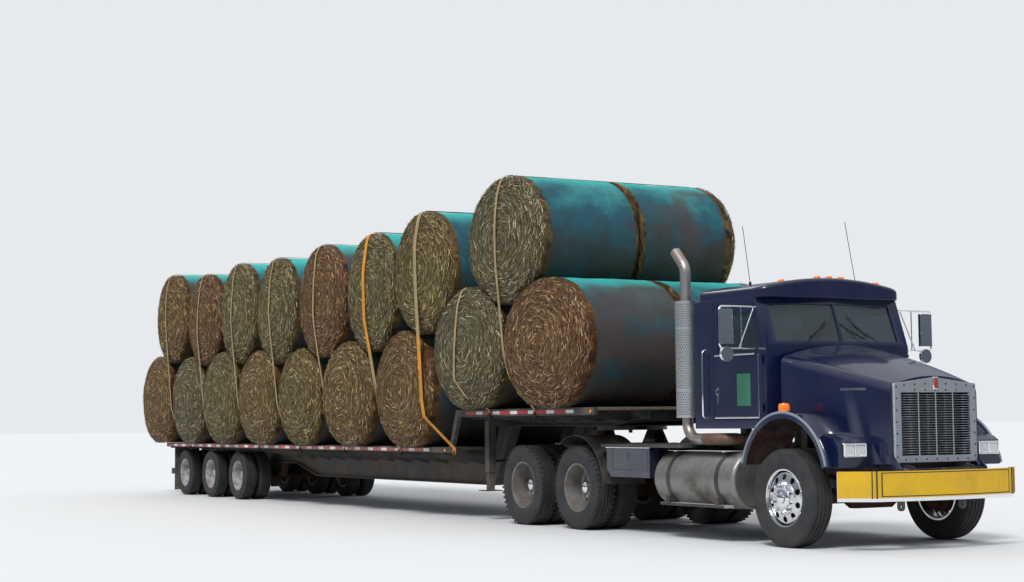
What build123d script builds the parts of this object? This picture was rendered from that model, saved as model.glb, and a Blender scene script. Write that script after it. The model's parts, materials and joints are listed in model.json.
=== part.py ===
from build123d import *
import os
from math import cos, pi, radians, sin, sqrt

# An articulated hay lorry: a day-cab tractor, a step-deck trailer and its load of round bales.
# +X is forward, +Y is the lorry's left, +Z is up, millimetres. The origin is on the ground under
# the middle of the whole length. Places along the lorry are measured from the steer axle.

# Clearances
SEAT = 0.3              # between pieces that rest on each other
RUN = 0.05              # round a pin or a spindle in its bore
SWING = 8               # between pieces that move past each other

# Overall places, from the steer axle
NOSE_REACH = 1250       # front face of the banner, ahead of the steer axle
LOAD_TAIL = 19790       # rearmost bale, behind the steer axle
STEER_X = (LOAD_TAIL - NOSE_REACH) / 2

SIDES = (("left", 1), ("right", -1))
WHEEL_SIDES = 24        # flats round a tyre or a rim
BALE_SIDES = 24         # flats round a bale

# Tractor frame
RAIL_TOP = 1010
RAIL_DEPTH = 270
RAIL_OUT = 430          # outer face of a rail from the middle
RAIL_FLANGE = 85
RAIL_WEB = 10
RAIL_FRONT = 980
RAIL_REAR = -6180
RAIL_BRACE = 120        # width of a cross member along the frame
RAIL_BRACES = (860, -1750, -2650, -3450, -4665, -6060)
TOW_EYE_R = 22
TOW_EYE_PLATE = 30
TOW_EYE_Z = 430
HINGE_R = 20            # the bar the hood tilts on
HINGE_EYE_R = 34
HINGE_PLATE = 26
HOOD_EAR_Y = 560        # inner face of the hood's ears

# Steer axle and knuckles
STEER_TYRE_R = 510
STEER_TYRE_W = 280
STEER_OUT = 1190        # outer face of the steer tyre from the middle
KINGPIN_Y = 850
KINGPIN_R = 20
BOSS_R = 52
BOSS_H = 140
ARM_T = 32              # thickness of a knuckle's arm
THRUST = 1              # gap between a boss and an arm
SPINDLE_R = 42
AXLE_BEAM_W = 100
AXLE_BEAM_H = 90
AXLE_DROP = 60          # how far the beam's middle hangs below its ends

# Drive axles
DRIVE_XS = (-4005, -5325)
DRIVE_TYRE_R = 510
DRIVE_TYRE_W = 275
DRIVE_OUT = 1220
DRIVE_PITCH = 325       # between the two tyres of a pair
DRIVE_TUBE_R = 70
BOWL_R = 185
SHAFT_RISE = 30         # of the drive shafts above the axles

# Trailer axles
TRAILER_XS = (-15310, -16680, -18050)
TRAILER_TYRE_R = 422
TRAILER_TYRE_W = 240
TRAILER_OUT = 1270
TRAILER_PITCH = 285
TRAILER_TUBE_R = 63

# Wheels
BIG_RIM_R = 290         # seat of the tyre on a steer or drive wheel
SMALL_RIM_R = 250       # seat of the tyre on a trailer wheel
RIM_WALL = 14
DISC_T = 16
STEER_DISH = 55         # depth of the disc behind the tyre's face
DISH_TAPER = 20         # how much narrower a dish is at its disc
HUB_R = 115
HUB_CAP_OUT = 35        # how far the steer hub stands out of the tyre's face
TWIN_HUB_OUT = 150      # how far a pair's hub stands out of its disc
DRUM_R = 205
DRUM_GAP = 40
SHOULDER_DROP = 55      # how far a tyre's side is lower than its tread
SHOULDER_W = 32

# Cab
CAB_HALF_W = 1000
CAB_WALL = 45
CAB_FLOOR = 1225
CAB_TOP = 2640
CAB_REAR = -1770
CAB_NOSE = -380         # foot of the windscreen in the middle
CAB_V = 80              # how far the windscreen's sides lie behind its middle
SCREEN_FOOT = 2110
SCREEN_LEAN = 190       # how far the screen's head lies behind its foot
SCREEN_HALF_W = 860
SCREEN_POST = 50        # half the width of the middle post
SCREEN_SILL = 60
SCREEN_HEAD = 70
GLASS_T = 8
ROOF_EDGE = 105         # height of the roof's sides above the cab's walls
ROOF_CROWN = 225        # height of its middle
ROOF_CORNER = 190       # radius of its corners in plan
ROOF_ROUND = 45         # radius of its upper edge
ROOF_LINING = 60        # how far the roof is hollowed from below
ROOF_RIM = 120          # width of its seat on the cab's walls
BROW = 60               # how far the roof's brow stands ahead of the screen's head

DOOR_FRONT = -520
DOOR_REAR = -1400
DOOR_FOOT = 1320
DOOR_HEAD = 2560
DOOR_BELT = 2050
DOOR_FRAME = 75
DOOR_GAP = 6
HINGE_ZS = (1440, 1960) # middles of a door's two hinges
HINGE_BARREL_R = 12
HINGE_STAND = 3         # between a barrel and the wall behind it
HINGE_PIN_R = 6
HINGE_BARREL_H = 80
HINGE_LUG_H = 24
HINGE_LEAF = 44         # reach of a leaf from the hinge's axis

# Hood, from the pivot at its foot
HOOD_PIVOT = 1100
HOOD_PIVOT_Z = 800
HOOD_REAR = -350
HOOD_FRONT = 1000
HOOD_FOOT = 860
HOOD_WALL = 16
HOOD_CORNER = 110
# place, half width, height of the crown's edge, height of the crown's middle
HOOD_SECTIONS = (
    (HOOD_REAR, 890, 2010, 2120),
    (300, 770, 1860, 1960),
    (HOOD_FRONT, 590, 1680, 1750),
)
ARCH_X = 30             # middle of the front wheel arch
ARCH_Z = 690
ARCH_R = 690
ARCH_WALL = 14
FENDER_OUT = 1200
FENDER_IN = 620
FENDER_LIP = 45         # depth of the rolled edge
FENDER_EDGE = 15        # its thickness
FENDER_FROM = 12        # lowest point of the arch's front, in degrees above level
FENDER_SPLIT = 129      # end of the hood's fender; the tail behind it stays on the cab
FENDER_TO = 167
NACELLE_REAR = 420
NACELLE_FRONT = 790
NACELLE_OUT = 1090
NACELLE_IN = 560
NACELLE_FOOT = 830
NACELLE_HEAD = 1125
LAMP_W = 290
LAMP_H = 130
LAMP_T = 40
LAMP_Y = 905
LAMP_Z = 1025

GRILLE_HALF_W = 550
GRILLE_FOOT = 875
GRILLE_SHOULDER = 1670
GRILLE_PEAK = 1735
GRILLE_T = 30
GRILLE_RIM = 85
GRILLE_OPEN_HEAD = 1581
GRILLE_OPEN_FOOT = 943
GRILLE_BARS = 3
GRILLE_BAR_W = 14
SLATS = 25
SLAT_T = 7
SLAT_DEPTH = 18

# Bumper and banner
BUMPER_FOOT = 500
BUMPER_HEAD = 790
BUMPER_T = 8
BUMPER_BOW = 110        # how far the bumper's middle stands ahead of its shoulders
BUMPER_SHOULDER = 930
BUMPER_HALF_W = 1200
BUMPER_SWEEP = 240      # how far the ends sweep back from the shoulders
BANNER_T = 3
BANNER_FOOT = 535
BANNER_HEAD = 800

# Tanks, boxes and stack
TANK_R = 310
TANK_Y = 925
TANK_Z = 665
TANK_FRONT = -780
TANK_REAR = -2290
TANK_EDGE = 50
STRAP_T = 6
STRAP_W = 60
STRAP_INSET = 300
STEP_W = 200
STEP_BAR_Z = 372        # underside of the step bar below a tank
STEP_BAR_T = 30
STEP_BAR_W = 130
STEP_BAR_OUT = 250      # middle of the bar, out from the tank's middle
STEP_HANGER_H = 110
BOX_FRONT = -2420
BOX_REAR = -3330
BOX_FOOT = 660
BOX_OUT = 1190
CATWALK_T = 35
CATWALK_FRONT = -1830
CATWALK_REAR = -3500
STACK_X = -1915
STACK_Y = -1000
STACK_R = 62
STACK_TOP = 3060
STACK_BEND = 190
STACK_FOOT = 1340
SHIELD_R = 125
SHIELD_T = 3
SHIELD_FOOT = 1350
SHIELD_TOP = 2670

# Coupling and trailer frame
COUPLING_X = -4600
COUPLING_Z = 1250       # underside of the trailer's coupler plate
COUPLING_PIN_R = 25
COUPLING_PIN_L = 84
PLATE_T = 46
PLATE_R = 470
DECK_REAR = -18950
DECK_STEP = -7100       # foot of the slanted step between the decks
STEP_LEAN = 210
DECK_NOSE = -3430
LOWER_DECK = 980        # top of the lower deck
UPPER_DECK = 1490
DECK_T = 40
DECK_HALF_W = 1300
EDGE_W = 60             # width of a side rail
LOWER_EDGE_H = 75
UPPER_EDGE_H = 95
BEAM_Y = 520
BEAM_FLANGE = 150
BEAM_WEB = 14
BEAM_FOOT = 440         # underside of the beams amidships
BEAM_FOOT_REAR = 640    # underside over the axles
UPPER_BEAM_FOOT = 1262
MEMBER_PITCH = 600      # between the cross members, whose tips carry the side rails
MEMBER_T = 12
MEMBER_TIP = 60         # depth at the tips
MEMBER_ROOT = 230       # depth between the beams amidships
MEMBER_ROOT_WHEELS = 90 # over the wheels
MEMBER_ROOT_UPPER = 140 # under the upper deck
AXLE_ZONE = 1100        # the beams are shallow from the rear to this far ahead of the first axle
BEAM_TAPER = 900
NOSE_DEPTH = 110        # of the beams at the front of the upper deck
NOSE_TAPER = 700
STEP_INSET = 40         # how far the beams' slant lies behind the side rails'
STEP_HEEL = 250         # length of the beams' slant past the step's head
COUPLER_T = 12
COUPLER_L = 1100
LEG_X = -6600
LEG_Y = 960
LEG_W = 110
LEG_FOOT = 390
LEG_CASE_FOOT = 640
LEG_CASE_WALL = 12
LEG_SHAFT_R = 22        # the cross shaft between the legs
LEG_SHAFT_RISE = 150    # of it above the cases' feet
LEG_ARM_H = 80
FOOT_W = 250
FOOT_T = 12
TRAILER_FLAP_X = -18640 # front face of the flaps behind the last wheels
TRAILER_FLAP_FOOT = 80
FLAP_BAR = 50           # section of the bar the flaps hang from
MUD_FLAP_T = 8
GUARD_X = -18900
GUARD_FOOT = 380
GUARD_H = 110
GUARD_T = 80
GUARD_POST_W = 90

# Bales
BALE_LENGTH = 1566      # across the lorry
BALE_GAP = 4            # between the two bales of a row
BALE_SETTLE = 35        # how far a bale flattens on the deck
# place of the middle, half length, height above its deck
LOWER_BALES = (
    (-18885, 905, 1680),
    (-17180, 830, 1610),
    (-15480, 905, 1640),
    (-13720, 905, 1600),
    (-11960, 845, 1560),
    (-10110, 920, 1600),
    (-8200, 895, 1670),
    (-6240, 975, 1640),
    (-4260, 1020, 1630),
)
# place of the middle, half length, top above the ground, height
UPPER_BALES = (
    (-18130, 800, 4200, 1720),
    (-16330, 820, 4070, 1700),
    (-14640, 800, 4140, 1780),
    (-12930, 780, 4090, 1800),
    (-11070, 850, 4140, 1810),
    (-9260, 800, 4150, 1800),
    (-7560, 880, 4290, 1750),
    (-5230, 970, 4500, 1690),
)
STRAP_BAND_T = 3
STRAP_BAND_W = 50

os.makedirs("parts", exist_ok=True)


def outward(x, y, z, side):
    """A plane across the lorry that looks away from its middle."""
    return Plane(origin=(x, side * y, z), x_dir=(1, 0, 0), z_dir=(0, side, 0))


def flats(radius):
    """A wheel's outline, with a flat at its foot."""
    return RegularPolygon(radius, WHEEL_SIDES, major_radius=False, rotation=180 / WHEEL_SIDES)


def tube(points, radius, bend):
    """A round bar or pipe along straight runs with a bend at each corner."""
    with BuildPart() as bar:
        with BuildLine() as path:
            if len(points) > 2:
                FilletPolyline(*points, radius=bend)
            else:
                Polyline(*points)
        with BuildSketch(Plane(origin=path.line @ 0, z_dir=path.line % 0)):
            Circle(radius)
        sweep(path=path.line)
    return bar.part


# Tractor frame: two channel rails with their open sides inward, held by channel cross members.
# The tow eyes are plates on the rails' front ends.
rail_in = RAIL_OUT - RAIL_WEB
rail_foot = RAIL_TOP - RAIL_DEPTH
with BuildPart() as frame_rails:
    with BuildSketch(Plane.YZ.offset(STEER_X + RAIL_REAR)):
        for _, side in SIDES:
            with Locations((side * (RAIL_OUT - RAIL_FLANGE / 2), RAIL_TOP - RAIL_DEPTH / 2)):
                Rectangle(RAIL_FLANGE, RAIL_DEPTH)
            with Locations((side * (rail_in - RAIL_FLANGE / 2), RAIL_TOP - RAIL_DEPTH / 2)):
                Rectangle(RAIL_FLANGE, RAIL_DEPTH - 2 * RAIL_WEB, mode=Mode.SUBTRACT)
    extrude(amount=RAIL_FRONT - RAIL_REAR)
    with BuildSketch(Plane.XZ):
        for brace_x in RAIL_BRACES:
            with Locations((STEER_X + brace_x, rail_foot + RAIL_DEPTH / 2)):
                Rectangle(RAIL_BRACE, RAIL_DEPTH - 2 * RAIL_WEB)
            with Locations((STEER_X + brace_x + RAIL_WEB, rail_foot + RAIL_DEPTH / 2)):
                Rectangle(RAIL_BRACE, RAIL_DEPTH - 4 * RAIL_WEB, mode=Mode.SUBTRACT)
    extrude(amount=rail_in, both=True)
    eye_x = STEER_X + RAIL_FRONT - 2 * TOW_EYE_R
    for _, side in SIDES:
        with BuildSketch(outward(eye_x, RAIL_OUT - TOW_EYE_PLATE, 0, side)):
            with Locations((0, -side * TOW_EYE_Z)):
                Circle(2 * TOW_EYE_R)
            with Locations((0, -side * (TOW_EYE_Z + rail_foot) / 2)):
                Rectangle(4 * TOW_EYE_R, rail_foot - TOW_EYE_Z)
            with Locations((0, -side * TOW_EYE_Z)):
                Circle(TOW_EYE_R, mode=Mode.SUBTRACT)
        extrude(amount=TOW_EYE_PLATE)
        with BuildSketch(outward(STEER_X, rail_in - HINGE_PLATE, 0, side)):
            with BuildLine():
                outline = [
                    (RAIL_FRONT - 2 * HINGE_EYE_R, rail_foot + RAIL_WEB),
                    (RAIL_FRONT - 2 * HINGE_EYE_R, HOOD_FOOT),
                    (RAIL_FRONT, HOOD_FOOT),
                    (HOOD_PIVOT + HINGE_EYE_R, HOOD_PIVOT_Z + HINGE_EYE_R),
                    (HOOD_PIVOT + HINGE_EYE_R, HOOD_PIVOT_Z - HINGE_EYE_R),
                ]
                Polyline(*[(x, -side * z) for x, z in outline], close=True)
            make_face()
        extrude(amount=HINGE_PLATE)
    with BuildSketch(Plane.XZ):
        with Locations((STEER_X + HOOD_PIVOT, HOOD_PIVOT_Z)):
            Circle(HINGE_R)
    extrude(amount=HOOD_EAR_Y + HINGE_PLATE, both=True)
frame_rails.part.label = "frame_rails"
export_step(frame_rails.part, "parts/frame_rails.step")


# Steer axle: a forged beam that drops between its spring pads, with an upright boss at each end.
# The leaf springs are arcs from hanger to hanger, seated on the beam's pads.
SPRING_Y = 415
SPRING_W = 80
SPRING_T = 55
SPRING_REACH = 640      # from the axle to a hanger
SPRING_RISE = 130       # how far the hangers stand above the pad
pad_top = STEER_TYRE_R + 15
hanger_top = rail_foot - SEAT
with BuildPart() as steer_axle:
    with BuildSketch(Plane.YZ.offset(STEER_X)):
        with BuildLine():
            half = [
                (KINGPIN_Y, pad_top),
                (SPRING_Y + SPRING_W, pad_top),
                (SPRING_Y - SPRING_W, pad_top),
                (SPRING_Y - 2 * SPRING_W, pad_top - AXLE_DROP),
            ]
            foot = [(y, z - AXLE_BEAM_H) for y, z in reversed(half)]
            right_foot = [(-y, z) for y, z in reversed(foot)]
            right_head = [(-y, z) for y, z in reversed(half)]
            Polyline(*half, *right_head, *right_foot, *foot, close=True)
        make_face()
    extrude(amount=AXLE_BEAM_W / 2, both=True)
    with Locations(*[(STEER_X, side * KINGPIN_Y, STEER_TYRE_R - 30) for _, side in SIDES]):
        Cylinder(BOSS_R, BOSS_H)
        Cylinder(KINGPIN_R + RUN, BOSS_H, mode=Mode.SUBTRACT)
steer_axle.part.label = "steer_axle"
export_step(steer_axle.part, "parts/steer_axle.step")

with BuildPart() as steer_springs:
    with BuildSketch(outward(STEER_X, SPRING_Y - SPRING_W / 2, 0, -1)):
        spring_foot = pad_top + SEAT
        with BuildLine():
            ThreePointArc(
                (-SPRING_REACH, spring_foot + SPRING_RISE),
                (0, spring_foot),
                (SPRING_REACH, spring_foot + SPRING_RISE),
            )
            Line(
                (SPRING_REACH, spring_foot + SPRING_RISE),
                (SPRING_REACH, spring_foot + SPRING_RISE + SPRING_T / 2),
            )
            ThreePointArc(
                (SPRING_REACH, spring_foot + SPRING_RISE + SPRING_T / 2),
                (0, spring_foot + SPRING_T),
                (-SPRING_REACH, spring_foot + SPRING_RISE + SPRING_T / 2),
            )
            Line(
                (-SPRING_REACH, spring_foot + SPRING_RISE + SPRING_T / 2),
                (-SPRING_REACH, spring_foot + SPRING_RISE),
            )
        make_face()
        hanger_foot = spring_foot + SPRING_RISE - SPRING_T / 2
        for end in (-1, 1):
            with Locations((end * SPRING_REACH, (hanger_foot + hanger_top) / 2)):
                Rectangle(SPRING_T * 1.6, hanger_top - hanger_foot)
    extrude(amount=SPRING_W)
    mirror(about=Plane.XZ)
steer_springs.part.label = "steer_springs"
export_step(steer_springs.part, "parts/steer_springs.step")

# Knuckles: two arms hold the kingpin over and under the boss, a web joins them outboard, and the
# spindle stands out of the web.
boss_z = STEER_TYRE_R - 30
arm_head = boss_z + BOSS_H / 2 + THRUST
arm_foot = boss_z - BOSS_H / 2 - THRUST
web_in = KINGPIN_Y + BOSS_R + 4
WEB_T = 28
spindle_end = STEER_OUT - STEER_DISH - DISC_T + 20
for side_name, side in SIDES:
    with BuildPart() as knuckle:
        for foot in (arm_head, arm_foot - ARM_T):
            with BuildSketch(Plane.XY.offset(foot)):
                with Locations((STEER_X, side * KINGPIN_Y)):
                    Circle(BOSS_R)
                with Locations((STEER_X, side * (KINGPIN_Y + web_in + WEB_T) / 2)):
                    Rectangle(2 * BOSS_R, web_in + WEB_T - KINGPIN_Y)
            extrude(amount=ARM_T)
        with BuildSketch(outward(STEER_X, web_in, 0, side)):
            with Locations((0, -side * (arm_head + arm_foot) / 2)):
                Rectangle(2 * BOSS_R, arm_head - arm_foot + 2 * ARM_T)
        extrude(amount=WEB_T)
        with BuildSketch(outward(STEER_X, web_in, 0, side)):
            with Locations((0, -side * STEER_TYRE_R)):
                Circle(SPINDLE_R)
        extrude(amount=spindle_end - web_in)
        with Locations((STEER_X, side * KINGPIN_Y, boss_z)):
            Cylinder(KINGPIN_R, arm_head - arm_foot + 2 * ARM_T)
    knuckle.part.label = f"knuckle_{side_name}"
    export_step(knuckle.part, f"parts/knuckle_{side_name}.step")


# Wheels: many-sided tyres on dished wheels. A pair's two wheels stand disc to disc on one hub,
# which carries the brake drum and turns on its spindle.
def tyre(x, face, width, radius, seat_r, side):
    """One tyre whose outer face is so far from the lorry's middle."""
    with BuildPart() as ring:
        for depth, drop in (
            (0, SHOULDER_DROP),
            (SHOULDER_W, 0),
            (width - SHOULDER_W, 0),
            (width, SHOULDER_DROP),
        ):
            with BuildSketch(outward(x, face - depth, radius, side)):
                flats(radius - drop)
        loft(ruled=True)
        with BuildSketch(outward(x, face - width, radius, side)):
            flats(seat_r)
        extrude(amount=width, mode=Mode.SUBTRACT)
    return ring.part


def barrel(x, face, width, z, seat_r, disc_out, side):
    """A rim's outer wall and its disc, the seat a hair inside the tyre."""
    rim_r = seat_r - SEAT
    with BuildPart() as rim:
        with BuildSketch(outward(x, face - width, z, side)):
            flats(rim_r)
        extrude(amount=width)
        if disc_out < face:
            for y, radius in ((face, rim_r - RIM_WALL), (disc_out, rim_r - RIM_WALL - DISH_TAPER)):
                with BuildSketch(outward(x, y, z, side)):
                    flats(radius)
            loft(ruled=True, mode=Mode.SUBTRACT)
        if disc_out - DISC_T > face - width:
            with BuildSketch(outward(x, face - width, z, side)):
                flats(rim_r - RIM_WALL)
            extrude(amount=disc_out - DISC_T - face + width, mode=Mode.SUBTRACT)
    return rim.part


def single_wheel(x, face, width, radius, seat_r, side):
    """A steer wheel: its disc is close behind the tyre's face."""
    tyre_in = face - width
    disc_out = face - STEER_DISH
    with BuildPart() as wheel:
        add(barrel(x, face, width, radius, seat_r, disc_out, side))
        with BuildSketch(outward(x, tyre_in + DRUM_GAP, radius, side)):
            flats(DRUM_R)
        extrude(amount=disc_out - DISC_T - tyre_in - DRUM_GAP)
        with BuildSketch(outward(x, disc_out, radius, side)):
            Circle(HUB_R)
        extrude(amount=STEER_DISH + HUB_CAP_OUT, taper=12)
        with BuildSketch(outward(x, tyre_in, radius, side)):
            Circle(SPINDLE_R + RUN)
        extrude(amount=spindle_end + 1 - tyre_in, mode=Mode.SUBTRACT)
    return wheel.part


def twin_wheel(x, face, width, radius, seat_r, pitch, spindle_out, side):
    """Two wheels disc to disc: the outer one is a deep dish, the inner one holds the drum."""
    inner_face = face - pitch
    inner_back = inner_face - width
    disc_out = face - width + DISC_T
    with BuildPart() as wheel:
        add(barrel(x, face, width, radius, seat_r, disc_out, side))
        add(barrel(x, inner_face, width, radius, seat_r, inner_face, side))
        with BuildSketch(outward(x, inner_back + DRUM_GAP, radius, side)):
            flats(DRUM_R * seat_r / BIG_RIM_R)
        extrude(amount=disc_out - inner_back - DRUM_GAP)
        with BuildSketch(outward(x, disc_out, radius, side)):
            Circle(HUB_R)
        extrude(amount=TWIN_HUB_OUT, taper=8)
        with BuildSketch(outward(x, inner_back, radius, side)):
            Circle(SPINDLE_R + RUN)
        extrude(amount=spindle_out + 1 - inner_back, mode=Mode.SUBTRACT)
    return wheel.part


for side_name, side in SIDES:
    with BuildPart() as steer_wheel:
        add(tyre(STEER_X, STEER_OUT, STEER_TYRE_W, STEER_TYRE_R, BIG_RIM_R, side))
        add(single_wheel(STEER_X, STEER_OUT, STEER_TYRE_W, STEER_TYRE_R, BIG_RIM_R, side))
    steer_wheel.part.label = f"steer_wheel_{side_name}"
    export_step(steer_wheel.part, f"parts/steer_wheel_{side_name}.step")

drive_spindle_end = DRIVE_OUT - DRIVE_TYRE_W + TWIN_HUB_OUT / 2
trailer_spindle_end = TRAILER_OUT - TRAILER_TYRE_W + TWIN_HUB_OUT / 2
# name, places of the axles, outer face, tyre width, tyre radius, rim radius, pitch, spindle's end
TWIN_ROWS = (
    ("drive", DRIVE_XS, DRIVE_OUT, DRIVE_TYRE_W, DRIVE_TYRE_R, BIG_RIM_R, DRIVE_PITCH,
     drive_spindle_end),
    ("trailer", TRAILER_XS, TRAILER_OUT, TRAILER_TYRE_W, TRAILER_TYRE_R, SMALL_RIM_R,
     TRAILER_PITCH, trailer_spindle_end),
)
for row, axle_xs, face, width, radius, seat_r, pitch, spindle_out in TWIN_ROWS:
    for side_name, side in SIDES:
        with BuildPart() as pair:
            add(tyre(0, face, width, radius, seat_r, side))
            add(tyre(0, face - pitch, width, radius, seat_r, side))
            add(twin_wheel(0, face, width, radius, seat_r, pitch, spindle_out, side))
        for number, axle_x in enumerate(axle_xs, start=1):
            with BuildPart() as twin:
                with Locations((STEER_X + axle_x, 0, 0)):
                    add(pair.part)
            name = f"{row}_wheels_{number}_{side_name}"
            twin.part.label = name
            export_step(twin.part, f"parts/{name}.step")

# Drive axles: a banjo housing with a round bowl in the middle and a spindle at each end.
drive_inner = DRIVE_OUT - DRIVE_PITCH - DRIVE_TYRE_W
with BuildPart() as drive_axles:
    for axle_x in DRIVE_XS:
        for half_length, radius in (
            (drive_inner - 5, DRIVE_TUBE_R),
            (drive_spindle_end, SPINDLE_R),
        ):
            with BuildSketch(Plane.XZ):
                with Locations((STEER_X + axle_x, DRIVE_TYRE_R)):
                    Circle(radius)
            extrude(amount=half_length, both=True)
        with BuildSketch(Plane.XZ):
            with Locations((STEER_X + axle_x, DRIVE_TYRE_R)):
                Circle(BOWL_R)
        extrude(amount=BOWL_R / 2, both=True, taper=20)
drive_axles.part.label = "drive_axles"
export_step(drive_axles.part, "parts/drive_axles.step")

# Drive suspension: on each side a walking beam lies under both axles and rocks on a saddle that
# hangs from the rail.
WALK_Y = 520
WALK_W = 80
WALK_H = 120
SADDLE_W = 420
walk_mid = STEER_X + (DRIVE_XS[0] + DRIVE_XS[1]) / 2
walk_reach = (DRIVE_XS[0] - DRIVE_XS[1]) / 2
walk_top = DRIVE_TYRE_R - DRIVE_TUBE_R - SEAT
with BuildPart() as drive_suspension:
    with BuildSketch(outward(walk_mid, WALK_Y - WALK_W / 2, 0, -1)):
        with BuildLine():
            Polyline(
                (-walk_reach - DRIVE_TUBE_R, walk_top),
                (walk_reach + DRIVE_TUBE_R, walk_top),
                (walk_reach + DRIVE_TUBE_R, walk_top - WALK_H / 2),
                (0, walk_top - WALK_H),
                (-walk_reach - DRIVE_TUBE_R, walk_top - WALK_H / 2),
                close=True,
            )
        make_face()
    extrude(amount=WALK_W)
    with BuildSketch(outward(walk_mid, RAIL_OUT + SEAT, 0, -1)):
        with BuildLine():
            Polyline(
                (-SADDLE_W / 2, RAIL_TOP - 2 * RAIL_WEB),
                (SADDLE_W / 2, RAIL_TOP - 2 * RAIL_WEB),
                (SADDLE_W / 4, walk_top - WALK_H / 3),
                (-SADDLE_W / 4, walk_top - WALK_H / 3),
                close=True,
            )
        make_face()
    extrude(amount=WALK_Y - RAIL_OUT - SEAT)
    mirror(about=Plane.XZ)
drive_suspension.part.label = "drive_suspension"
export_step(drive_suspension.part, "parts/drive_suspension.step")

# Engine: a plain block with its bell housing and gearbox, held in the frame by four feet.
ENGINE_FRONT = 560
ENGINE_REAR = -330
ENGINE_HEAD = 1520
ENGINE_FOOT = 620
ENGINE_HALF_W = 290
GEARBOX_REAR = -1450
GEARBOX_HALF_W = 210
GEARBOX_HEAD = 1080
SHAFT_R = 50
with BuildPart() as engine:
    with BuildSketch(Plane.XZ):
        with BuildLine():
            Polyline(
                (STEER_X + ENGINE_FRONT, ENGINE_FOOT + 120),
                (STEER_X + ENGINE_FRONT, ENGINE_HEAD - 80),
                (STEER_X + ENGINE_FRONT - 80, ENGINE_HEAD),
                (STEER_X + ENGINE_REAR, ENGINE_HEAD),
                (STEER_X + ENGINE_REAR, ENGINE_FOOT + 60),
                (STEER_X + ENGINE_REAR + 300, ENGINE_FOOT),
                close=True,
            )
        make_face()
    extrude(amount=ENGINE_HALF_W, both=True)
    with BuildSketch(Plane.XZ):
        with BuildLine():
            Polyline(
                (STEER_X + ENGINE_REAR, ENGINE_FOOT + 60),
                (STEER_X + ENGINE_REAR, GEARBOX_HEAD + 80),
                (STEER_X + ENGINE_REAR - 250, GEARBOX_HEAD),
                (STEER_X + GEARBOX_REAR, GEARBOX_HEAD - 120),
                (STEER_X + GEARBOX_REAR, ENGINE_FOOT + 100),
                close=True,
            )
        make_face()
    extrude(amount=GEARBOX_HALF_W, both=True)
    for foot_x in (ENGINE_FRONT - 150, GEARBOX_REAR + 700):
        with Locations((STEER_X + foot_x, 0, rail_foot + RAIL_DEPTH / 2)):
            Box(90, 2 * (rail_in - SEAT), 80)
engine.part.label = "engine"
export_step(engine.part, "parts/engine.step")

gearbox_face = STEER_X + GEARBOX_REAR - SEAT
drive_faces = [STEER_X + x for x in DRIVE_XS]
with BuildPart() as drive_shafts:
    for front, rear in (
        (gearbox_face, drive_faces[0] + BOWL_R + SEAT),
        (drive_faces[0] - BOWL_R - SEAT, drive_faces[1] + BOWL_R + SEAT),
    ):
        with BuildSketch(Plane.YZ.offset(rear)):
            with Locations((0, DRIVE_TYRE_R + SHAFT_RISE)):
                Circle(SHAFT_R)
        extrude(amount=front - rear)
drive_shafts.part.label = "drive_shafts"
export_step(drive_shafts.part, "parts/drive_shafts.step")

# Cab: a hollow shell from one loft across the lorry, so the windscreen is two flat panes that
# meet in the middle. Doorways, panes and the rear window are cut through it.
floor_z = CAB_FLOOR + CAB_WALL


def cab_outline(nose, inset):
    """The cab's side view, with its front so far ahead, drawn in by the inset."""
    slope = SCREEN_LEAN / (CAB_TOP - SCREEN_FOOT)
    head = CAB_TOP + SEAT if inset else CAB_TOP
    return [
        (STEER_X + CAB_REAR + inset, CAB_FLOOR + inset),
        (STEER_X + nose - inset, CAB_FLOOR + inset),
        (STEER_X + nose - inset, SCREEN_FOOT),
        (STEER_X + nose - inset - slope * (head - SCREEN_FOOT), head),
        (STEER_X + CAB_REAR + inset, head),
    ]


def cab_form(inset):
    """The cab's outer form, or the room inside it."""
    half_w = CAB_HALF_W - inset
    with BuildPart() as form:
        for y, nose in ((-half_w, CAB_NOSE - CAB_V), (0, CAB_NOSE), (half_w, CAB_NOSE - CAB_V)):
            with BuildSketch(Plane.XZ.offset(-y)):
                with BuildLine():
                    Polyline(*cab_outline(nose, inset), close=True)
                make_face()
        loft(ruled=True)
    return form.part


def door_outline(gap):
    """A door in side view, its front edge leaning with the windscreen above the belt."""
    slope = SCREEN_LEAN / (CAB_TOP - SCREEN_FOOT)
    return [
        (STEER_X + DOOR_REAR + gap, DOOR_FOOT + gap),
        (STEER_X + DOOR_FRONT - gap, DOOR_FOOT + gap),
        (STEER_X + DOOR_FRONT - gap, SCREEN_FOOT),
        (STEER_X + DOOR_FRONT - gap - slope * (DOOR_HEAD - SCREEN_FOOT - gap), DOOR_HEAD - gap),
        (STEER_X + DOOR_REAR + gap, DOOR_HEAD - gap),
    ]


def window_outline(gap):
    """A door's window: the door's outline drawn in by its frame, above the belt."""
    slope = SCREEN_LEAN / (CAB_TOP - SCREEN_FOOT)
    front = STEER_X + DOOR_FRONT - DOOR_FRAME - gap
    head = DOOR_HEAD - DOOR_FRAME - gap
    return [
        (STEER_X + DOOR_REAR + DOOR_FRAME + gap, DOOR_BELT + gap),
        (front, DOOR_BELT + gap),
        (front, SCREEN_FOOT),
        (front - slope * (head - SCREEN_FOOT), head),
        (STEER_X + DOOR_REAR + DOOR_FRAME + gap, head),
    ]


def screen_plane(side):
    """A plane on one windscreen pane: up the pane is +Y, and +X runs outward along its foot."""
    foot = Vector(STEER_X + CAB_NOSE, 0, SCREEN_FOOT)
    along = Vector(-CAB_V, side * CAB_HALF_W, 0)
    up = Vector(-SCREEN_LEAN, 0, CAB_TOP - SCREEN_FOOT)
    return Plane(origin=foot, x_dir=along, z_dir=along.cross(up) * side)


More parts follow.
